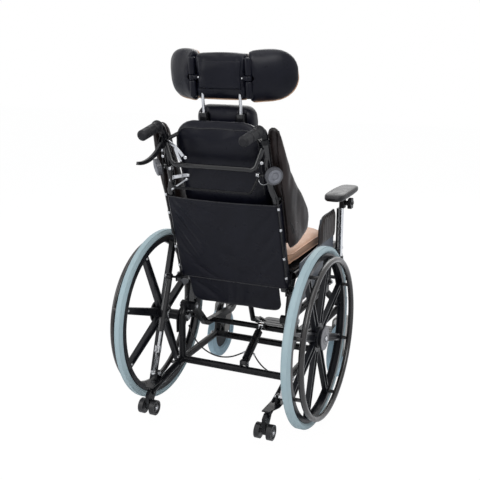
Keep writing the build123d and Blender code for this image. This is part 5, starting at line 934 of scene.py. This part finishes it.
# neck roll: a stuffed pill sewn in front of the panel's top
roll_rings = []
for x in (-0.0955, -0.094, -0.090, -0.082, -0.068, -0.045, -0.02, 0.0, 0.02, 0.045, 0.068, 0.082, 0.090, 0.094,
          0.0955):
    size = 0.3 + 0.7 * round_end(max(0.0, abs(x) - 0.060) / 0.0368, 2.4, 0.1)
    roll_rings.append([in_back(x, -0.1145 + n, 0.5355 + h)
                       for n, h in rounded_loop(0.0345 * size, 0.0465 * size, 2.8, 56)])
neck_roll = stuffed(lofted("neck_roll", roll_rings), 0.003, 0.0055)
slotted(neck_roll, [cutter for side in (-1, 1)
                    for cutter in post_slots(side, (-0.0905, 0.05, 0.0056), (-0.0308, 0.05, 0.0170))])
fit(neck_roll, black_cover, "back")

# ---------------------------------------------------------------- back pocket and flap
# A skin of the same leatherette is laced round the canes below the cushion as a document pocket, with a turned hem
# at its mouth. A narrower flap hangs from its lower seam over the rear of the seat.
POCKET_HALF, POCKET_EDGE, POCKET_REAR = 0.1965, 0.0140, 0.0132


def round_canes(s, h, lift=0.0):
    """Point of the pocket: s along it from the middle, h up the canes, lift off its surface, rearward."""
    flat, turn, r = POCKET_HALF - POCKET_EDGE, POCKET_EDGE * pi / 2, POCKET_EDGE - 0.0008
    side = 1 if s > 0 else -1
    s = abs(s)
    if s < flat:
        x, n, out = s, POCKET_REAR, (0, 1)
    elif s < flat + turn:
        a = (s - flat) / POCKET_EDGE
        out = (sin(a), cos(a))
        x, n = flat + r * out[0], POCKET_REAR - r + r * out[1]
    else:
        x, n, out = flat + r, POCKET_REAR - r - (s - flat - turn), (1, 0)
    return in_back(side * (x + out[0] * lift), n + out[1] * lift, h)


# pulls in the skins: from (s, h) to (s, h), half width, depth
POCKET_PULLS = (
    (0.178, 0.300, 0.085, 0.185, 0.0085, 0.0030), (0.182, 0.262, 0.100, 0.135, 0.0090, 0.0034),
    (0.180, 0.210, 0.118, 0.095, 0.0080, 0.0026), (0.165, 0.312, 0.030, 0.262, 0.0100, 0.0020),
    (-0.178, 0.288, -0.100, 0.205, 0.0090, 0.0024), (-0.182, 0.225, -0.112, 0.140, 0.0085, 0.0028),
    (-0.176, 0.150, -0.095, 0.060, 0.0100, 0.0022), (0.178, 0.120, 0.090, 0.040, 0.0090, 0.0024),
    (0.060, 0.240, -0.050, 0.170, 0.0180, -0.0016), (0.020, 0.120, -0.090, 0.085, 0.0160, 0.0018),
    (0.130, 0.060, 0.060, 0.020, 0.0070, 0.0018), (-0.060, 0.070, -0.150, 0.030, 0.0080, 0.0018),
)
FLAP_PULLS = (
    (0.140, -0.005, 0.060, -0.070, 0.012, 0.0030), (-0.140, -0.010, -0.080, -0.075, 0.012, 0.0028),
    (0.020, 0.000, 0.030, -0.090, 0.010, -0.0020), (-0.040, 0.000, -0.020, -0.080, 0.011, 0.0022),
)


def pull_depth(pulls, s, h):
    depth = 0.0
    for s0, h0, s1, h1, wide, deep in pulls:
        run = hypot(s1 - s0, h1 - h0)
        along = ((s - s0) * (s1 - s0) + (h - h0) * (h1 - h0)) / run ** 2
        off = abs((s - s0) * (h1 - h0) - (h - h0) * (s1 - s0)) / run
        ends = clamped((along + 0.25) * 4) * clamped((1.25 - along) * 2)
        depth += deep * ends * (exp(-(off / wide) ** 2) - 0.45 * exp(-((off - 1.9 * wide) / wide) ** 2))
    return depth


def grid_faces(rows, wide):
    return [(r * wide + c, r * wide + c + 1, (r + 1) * wide + c + 1, (r + 1) * wide + c)
            for r in range(rows - 1) for c in range(wide - 1)]


def skin(name, points, wide, thick, body, node=None):
    """Single skin of black leatherette from rows of wide points, thickened to both sides."""
    made = solid_from(name, points, grid_faces(len(points) // wide, wide))
    shell = made.modifiers.new("skin", "SOLIDIFY")
    shell.thickness = thick
    shell.offset = 0
    return fit(made, black_cover, body, node)


def evenly(first, last, count):
    return [float(at) for at in np.linspace(first, last, count)]


def pocket_place(s, h):
    mouth = 0.003 * exp(-((0.316 - h) / 0.035) ** 2)
    middle = max(0.0, 1 - (s / 0.19) ** 2)
    full = 0.0042 * middle * sin(pi * clamped(h / 0.316)) ** 0.7
    fold = 0.75 * pull_depth(POCKET_PULLS, s, h) * (1 - clamped((abs(s) - 0.168) / 0.012))
    ripple = 0.0003 * sin(s * 95 + 1.3 * sin(h * 40)) * middle
    return round_canes(s, h - mouth * middle * 4 / 3, full + mouth * middle - fold + ripple)


def along_pocket(h, lift, end, steps):
    """Points across the pocket at one height, lifted off it."""
    return [pocket_place(s, h) + round_canes(s, h, lift) - round_canes(s, h) for s in evenly(-end, end, steps + 1)]


back_pocket = skin("back_pocket", [pocket_place(s, h) for h in evenly(0.007, 0.3158, 104)
                                   for s in evenly(-0.2155, 0.2155, 150)], 150, 0.0015, "back", "back_cover")
pocket_trim = [welt(name, along_pocket(h, lift, end, 90), radius, black_welt, "back")
               for name, h, lift, end, radius in (("pocket_hem", 0.3150, 0.0006, 0.2155, 0.0021),
                                                  ("pocket_seam", 0.0085, 0.0008, 0.196, 0.0019))]
pocket_trim += [stitches(name, along_pocket(h, 0.0009, end, 160), black_thread, "back")
                for name, h, end in (("hem_stitching", 0.3005, 0.2), ("seam_stitching", 0.0165, 0.19))]

# the flap's seam and lower edge, the height between them, and the round of its lower corners
FLAP_TOP, FLAP_LOW, FLAP_TALL, FLAP_ROUND = 0.008, -0.0925, 0.1005, 0.034


def flap_place(s, h):
    down = clamped((FLAP_TOP - h) / FLAP_TALL)
    x = s * (0.1638 - 0.0012 * down)
    corner = min(max(0.0, abs(x) - 0.1288), FLAP_ROUND)
    low = FLAP_LOW + FLAP_ROUND - sqrt(FLAP_ROUND ** 2 - corner ** 2)
    h = FLAP_TOP - down * (FLAP_TOP - low)
    down = clamped((FLAP_TOP - h) / FLAP_TALL)
    n = 0.0128 - 0.0032 * down - 0.0048 * max(0.0, (down - 0.8) / 0.2) ** 2
    fold = pull_depth(FLAP_PULLS, x, h) * min(1.0, 3 * down)
    return in_back(x, n - fold * 0.8 + 0.0012 * sin(s * 9 + 0.6) * down, h)


back_flap = skin("back_flap", [flap_place(s, h) for h in evenly(FLAP_LOW, 0.0078, 32) for s in evenly(-1, 1, 96)],
                 96, 0.0014, "back")
flap_edge = ([flap_place(-1, h) for h in evenly(0.006, FLAP_LOW, 20)]
             + [flap_place(s, FLAP_LOW) for s in evenly(-0.97, 0.97, 50)]
             + [flap_place(1, h) for h in evenly(FLAP_LOW, 0.006, 20)])
flap_hem = welt("flap_hem", flap_edge, 0.0014, black_welt, "back")

# ---------------------------------------------------------------- side wings of the back
# Brown-black padded fins stand forward of the canes on each side, quilted with soft upright folds and bound along
# their curved front edge. A slot near the rear edge takes a chest strap.
WING_FRONT = ((0.1400, -0.060), (0.1435, -0.085), (0.150, -0.108), (0.160, -0.126), (0.174, -0.140),
              (0.193, -0.1475), (0.212, -0.1485), (0.230, -0.1455), (0.260, -0.133), (0.290, -0.118),
              (0.325, -0.099), (0.361, -0.079), (0.400, -0.062), (0.447, -0.044), (0.496, -0.030), (0.530, -0.021),
              (0.5560, -0.014))
WING_REAR = ((0.1400, -0.056), (0.1425, -0.035), (0.146, -0.015), (0.151, -0.002), (0.548, -0.002), (0.556, -0.004))
BOLSTER_FRONT = ((0.150, -0.092), (0.215, -0.098), (0.330, -0.079), (0.440, -0.058), (0.520, -0.048),
                 (0.554, -0.038))
# the second colour of each wing leatherette is the painted highlight on its raised folds
wing_cover = leatherette("wing_cover", (0.0085, 0.0060, 0.0060), (0.024, 0.0165, 0.0155), roughness=0.31, fold=0.85,
                         sheen=0.01, coat=0.06, specular=0.18, wrinkles=0.7)
wing_binding = leatherette("wing_binding", (0.0055, 0.005, 0.0056), (0.018, 0.016, 0.0165), roughness=0.28,
                           wrinkles=0.2, sheen=0.01, specular=0.18)


def wing_x(n, h):
    """How far out the fin stands: it leans outward towards its front edge, most at the ribs."""
    return 0.2092 + 0.0165 * clamped((-n - 0.015) / 0.125) ** 1.2 * clamped((0.56 - h) / 0.24)


def wing_folds(sign, p):
    n, h = back_place(p)
    lean = n + 0.20 * (h - 0.2) + 0.010 * sin(h * 17)
    wave = sin(lean * 96 + 1.9 * sin(h * 15) + sign) + 0.3 * sin(lean * 210 + 11 * h)
    fade = clamped((h - 0.12) / 0.06) * clamped((0.54 - h) / 0.1)
    return (sign * (1 if sign * p.x > wing_x(n, h) - 0.0002 else -0.25) * 0.0010 * wave * fade, 0, 0)


for hand, sign in SIDES:
    rings = []
    for h in (0.1408, 0.142, 0.1445, 0.149, 0.156, 0.168, 0.185, 0.205, 0.225, 0.25, 0.28, 0.32, 0.36, 0.40, 0.44,
              0.48, 0.51, 0.530, 0.543, 0.551, 0.5555):
        front, rear = read_off(WING_FRONT, h), read_off(WING_REAR, h)
        thick = 0.0102 * round_end(2 * (h - 0.1400) / 0.417 - 1, 14, 0.05) * min(1.0, 0.3 + (rear - front) / 0.05)
        rings.append([in_back(sign * wing_x((front + rear) / 2 + n, h) + x, (front + rear) / 2 + n, h)
                      for x, n in rounded_loop(thick, (rear - front) / 2 - 0.0006, 3.4, 56)])
    wing = stuffed(lofted(f"wing_pad_{hand}", rings), 0.003, 0.0058, 2)
    pulled(wing, lambda p: wing_folds(sign, p))
    fit(wing, wing_cover, "back", "back_wing_" + hand)
    # bolster between the fin and the cushion, sewn to the fin
    rings = []
    for h in (0.153, 0.156, 0.163, 0.18, 0.21, 0.25, 0.30, 0.35, 0.40, 0.44, 0.48, 0.51, 0.528, 0.541, 0.549,
              0.5555):
        front = read_off(BOLSTER_FRONT, h)
        ends = round_end(2 * (h - 0.1515) / 0.4055 - 1, 22, 0.30)
        rings.append([in_back(sign * (0.1870 + x), (front - 0.0140) / 2 + n, h)
                      for x, n in rounded_loop(0.0182 * ends, max(0.002, (-0.0140 - front) / 2) * ends, 3.8, 40)])
    fit(stuffed(lofted(f"wing_bolster_{hand}", rings), 0.001, 0.0055, 2), wing_cover, "back")
    wing_skin = surface_of(wing)
    edge = laid(wing_skin, [in_back(sign * wing_x(n, h), n - 0.002, h) for h, n in WING_FRONT], 0.0006)
    welt(f"wing_binding_{hand}", edge, 0.0024, wing_binding, "back")
    row = [in_back(sign * (0.0133 + wing_x(n, h)), n + 0.011, h) for h, n in WING_FRONT[3:-2]]
    stitches(f"wing_stitching_{hand}", laid(wing_skin, finer(row, 10), 0.0001), black_thread, "back")
    # strap slot with a moulded frame
    slot_rim = []
    for a in (2 * pi * k / 40 for k in range(40)):
        across, up = 0.0035 * cos(a), 0.021 * copysign(abs(sin(a)) ** 0.45, sin(a))
        slot_rim.append(in_back(sign * 0.2225, -0.017 + across + 0.25 * up, 0.222 + up))
    welt(f"wing_slot_{hand}", laid(wing_skin, slot_rim, 0.0005), 0.0013, knob_plastic, "back", True)

# ---------------------------------------------------------------- headrest
# Three stuffed pads: a middle one in a sleeve over the plated posts and two lobes that fold about upright pins. The
# backs are black leatherette, the faces grey cloth, and tan piping closes the seam between them.
grey_lining = moulded("grey_lining", (0.42, 0.43, 0.44), roughness=0.85, grain=1300.0, bump=0.00014, specular=0.2,
                      mottled=0.35, tint=(0.52, 0.53, 0.54))
# the piping's second colour is the painted highlight on its raised folds
tan_piping = leatherette("tan_piping", (0.42, 0.25, 0.15), (0.55, 0.36, 0.24), roughness=0.45, wrinkles=0.1,
                         fold=0.2)
# the height of the pads' middle, and the slope of the seam between their backs and faces
HEAD_MIDDLE, SEAM_SLOPE = 0.110, 0.26


def head_pad(body, is_front, owner, node):
    """Covers a pad in grey cloth where is_front(point) says so and in leatherette elsewhere."""
    for material in (black_cover, grey_lining):
        body.data.materials.append(material)
    for face in body.data.polygons:
        face.material_index = 1 if is_front(face.center) else 0
    return fit(body, None, owner, node)


def seam_at(p):
    """How far the seam lies towards the face at a point's height, from where it is at the pads' middle."""
    return SEAM_SLOPE * (head_place(p)[1] - HEAD_MIDDLE)


rings = []
for x in (-0.0818, -0.0808, -0.077, -0.066, -0.045, -0.02, 0.0, 0.02, 0.045, 0.066, 0.077, 0.0808, 0.0818):
    ends = round_end(x / 0.0826, 14, 0.04)
    rings.append([in_headrest(x, -0.0225 + n, HEAD_MIDDLE + h)
                  for n, h in rounded_loop(0.0300 * (0.84 + 0.16 * ends), 0.0690 * (0.96 + 0.04 * ends), 4.0, 64)])
head_middle = stuffed(lofted("head_pad_middle", rings), 0.005, 0.0048)
pulled(head_middle, lambda p: (
    0, -0.0012 * exp(-((abs(p.x) - 0.055) / 0.004) ** 2) * (head_place(p)[0] > -0.02), 0))
slotted(head_middle, [cutter for side in (-1, 1) for cutter in (
    *post_slots(side, (0.0, 0.1135, 0.0056)),
    (in_headrest(side * 0.050, 0, 0.108), in_headrest(side * 0.095, 0, 0.108), 0.0052),
)])
head_pad(head_middle, lambda p: head_place(p)[0] < -0.028 - seam_at(p), "headrest", "headrest_pad")
head_skin = surface_of(head_middle)
loop = [in_headrest(x * 1.1, -0.028 - SEAM_SLOPE * h, HEAD_MIDDLE + h)
        for x, h in rounded_loop(0.084, 0.072, 4.5, 110)]
welt("head_piping_middle", laid(head_skin, loop, 0.0006), 0.0022, tan_piping, "headrest", True)

# sleeve flap behind the middle pad, stitched round three sides and across
sleeve_points = []
for h in evenly(0.076, 0.160, 22):
    for x in evenly(-0.0745, 0.0745, 34):
        spot, normal, _, _ = head_skin.find_nearest(in_headrest(x, 0.014, h), 0.1)
        edge = min(1.0, (0.0745 - abs(x)) / 0.004, (h - 0.0755) / 0.004)
        sleeve_points.append(spot + normal * (0.0006 + 0.0016 * max(0.0, edge) ** 0.5))
sleeve = skin("head_sleeve_flap", sleeve_points, 34, 0.0012, "headrest")
sleeve_skin = BVHTree.FromPolygons(sleeve_points, grid_faces(22, 34))
seams = finer([in_headrest(x, 0.016, h) for x, h in ((-0.070, 0.158), (-0.070, 0.082), (0.070, 0.082),
                                                     (0.070, 0.158))], 40)
seams += [in_headrest(x, 0.016, 0.137) for x in evenly(0.070, -0.070, 41)]
sleeve_thread = stitches("head_stitching", laid(sleeve_skin, seams, 0.0008), black_thread, "headrest")

EAR_PIN_X, EAR_TURN = 0.094, radians(28)
# distance from the pin, share of the full height, and where the lobe's back and face lie ahead of the pin
EAR_LINES = ((0.004, 0.950, -0.0098, 0.0290), (0.007, 0.970, -0.0102, 0.0355), (0.014, 0.985, -0.0098, 0.0470),
             (0.026, 1.000, -0.0086, 0.0570), (0.046, 1.000, -0.0072, 0.0605), (0.066, 1.000, -0.0072, 0.0610),
             (0.084, 0.985, -0.0062, 0.0605), (0.102, 0.940, -0.0036, 0.0585), (0.118, 0.855, 0.0010, 0.0550),
             (0.132, 0.730, 0.0075, 0.0500), (0.1425, 0.580, 0.0140, 0.0445), (0.150, 0.400, 0.0205, 0.0385),
             (0.1535, 0.240, 0.0250, 0.0345))


def in_ear(sign, along, ahead, h):
    """Point of a lobe: along it from its pin, ahead of the pin towards its face, h up the posts."""
    x = EAR_PIN_X + along * cos(EAR_TURN) - ahead * sin(EAR_TURN)
    return in_headrest(sign * x, -along * sin(EAR_TURN) - ahead * cos(EAR_TURN), h)


def ear_ahead(sign, p):
    return (EAR_PIN_X - sign * p.x) * sin(EAR_TURN) - head_place(p)[0] * cos(EAR_TURN)


for hand, sign in SIDES:
    ear = "headrest_wing_" + hand
    rings = [[in_ear(sign, along, (rear + face) / 2 + a, HEAD_MIDDLE + h)
              for a, h in rounded_loop((face - rear) / 2, 0.0775 * tall, 2.7, 56)]
             for along, tall, rear, face in EAR_LINES]
    lobe = stuffed(lofted(f"head_lobe_{hand}", rings), 0.004, 0.0048)
    slotted(lobe, [(in_ear(sign, -0.02, 0, 0.108), in_ear(sign, 0.015, 0, 0.108), 0.0105)])
    head_pad(lobe, lambda p: ear_ahead(sign, p) > 0.036 + seam_at(p), ear, ear)
    loop = [in_ear(sign, 0.0775 + along, 0.036 + SEAM_SLOPE * h, HEAD_MIDDLE + h)
            for along, h in rounded_loop(0.080, 0.088, 2.6, 120)]
    welt(f"head_piping_{hand}", laid(surface_of(lobe), loop, 0.0006), 0.0022, tan_piping, ear,
         True)
    # the middle pad's leather over the end of the lobe's carrier
    fit(turned(f"head_carrier_cover_{hand}", [(0.0050, 0), (0.0082, 0.0), (0.0088, 0.002), (0.0088, 0.016),
                                              (0.0050, 0.018)],
               in_headrest(sign * 0.0765, 0, 0.108), (sign, 0, 0), 24), black_cover, "headrest")
    # hinge sleeve: the cover rolled round the pin, with a collar of the middle pad between its halves
    for label, low, high, owner in (("lower", 0.0475, 0.0992, ear), ("collar", 0.1000, 0.1160, "headrest"),
                                    ("upper", 0.1168, 0.1690, ear)):
        tall = high - low
        end = min(0.004, tall / 4)
        fit(turned(
            f"head_sleeve_{label}_{hand}",
            [(0.0034, 0), (0.0084, 0.0), (0.0104, end * 0.4), (0.0110, end), (0.0110, tall - end),
             (0.0104, tall - end * 0.4), (0.0084, tall), (0.0034, tall)],
            in_headrest(sign * EAR_PIN_X, 0, low), (0, sin(HEAD_LEAN), cos(HEAD_LEAN)), 32,
        ), black_cover, owner)

# ---------------------------------------------------------------- release cables
# Bowden cables in black vinyl sheaths: one from the hand lever down a cane, clipped to the edge of the pocket, its
# twin on the other cane, and two loops from the centre strut's head to the side frames.
cable_sheath = moulded("cable_sheath", (0.007, 0.007, 0.008), roughness=0.33, grain=500.0, bump=0.00003,
                       specular=0.35)
CABLE_R = 0.0025
CORNER_X, CORNER_N = 0.19445, 0.01495


def bowden(name, route, node, body, pieces):
    """Cable along its route: the route's points steer one smooth spline."""
    made = bar(name, route, CABLE_R, 5, 12)
    made.data.use_fill_caps = True
    fit(made, cable_sheath, body, node)


def ferrule(name, route, body):
    """Crimped metal end of a cable sheath."""
    long = 0.011
    outline = [(0.0030, 0), (0.0034, 0.0008), (0.0034, long * 0.7), (0.0029, long * 0.78), (0.0029, long),
               (0.0026, long + 0.0002)]
    return fit(turned(name, outline, route[0], Vector(route[1]) - Vector(route[0]), 20), zinc_plate, body)


lever_route = in_backs((0.168, 0.027, 0.491), (0.176, 0.026, 0.450), (0.184, 0.020, 0.405),
                       (CORNER_X, CORNER_N, 0.368), (CORNER_X, CORNER_N, 0.3402))
bowden("lever_cable_line", lever_route, "lever_cable", "back",
       [ferrule("lever_ferrule", lever_route, "back")])
for hand, sign, marks in (("left", 1, (0.318, 0.250, 0.120, 0.046)), ("right", -1, (0.300, 0.226, 0.120, 0.046))):
    clips = [
        fit(turned(f"cable_clip_{hand}_{number + 1}", [(0.0026, 0), (0.0040, 0.0004), (0.0042, 0.0012),
                                                       (0.0042, 0.0078), (0.0040, 0.0086), (0.0026, 0.009)],
                   in_back(sign * CORNER_X, CORNER_N, mark), BACK_UP, 20), zinc_plate, "back")
        for number, mark in enumerate(marks)
    ]
    cane_route = [in_back(sign * CORNER_X, CORNER_N, h) for h in (0.340, 0.264, 0.188, 0.112, 0.036)]
    bowden(f"cane_cable_{hand}", cane_route, "cane_cables", "back", clips)
for hand, length, route in (
    ("left", 0.265, [(-0.0223, -0.022, 0.194), (0.006, -0.026, 0.176), (0.040, -0.024, 0.162), (0.080, -0.018, 0.160),
                     (0.118, -0.008, 0.176), (0.148, 0, 0.204), (0.168, 0.006, 0.238), (0.180, 0.008, 0.272)]),
    ("right", 0.159, [(-0.0549, -0.022, 0.194), (-0.064, -0.028, 0.170), (-0.086, -0.034, 0.142),
                      (-0.118, -0.036, 0.124), (-0.150, -0.034, 0.120), (-0.180, -0.030, 0.128)]),
):
    bowden(f"strut_cable_{hand}", route, "cable_loop_" + hand, "centre_strut_body",
           [ferrule(f"strut_ferrule_{hand}", route, "centre_strut_body")])
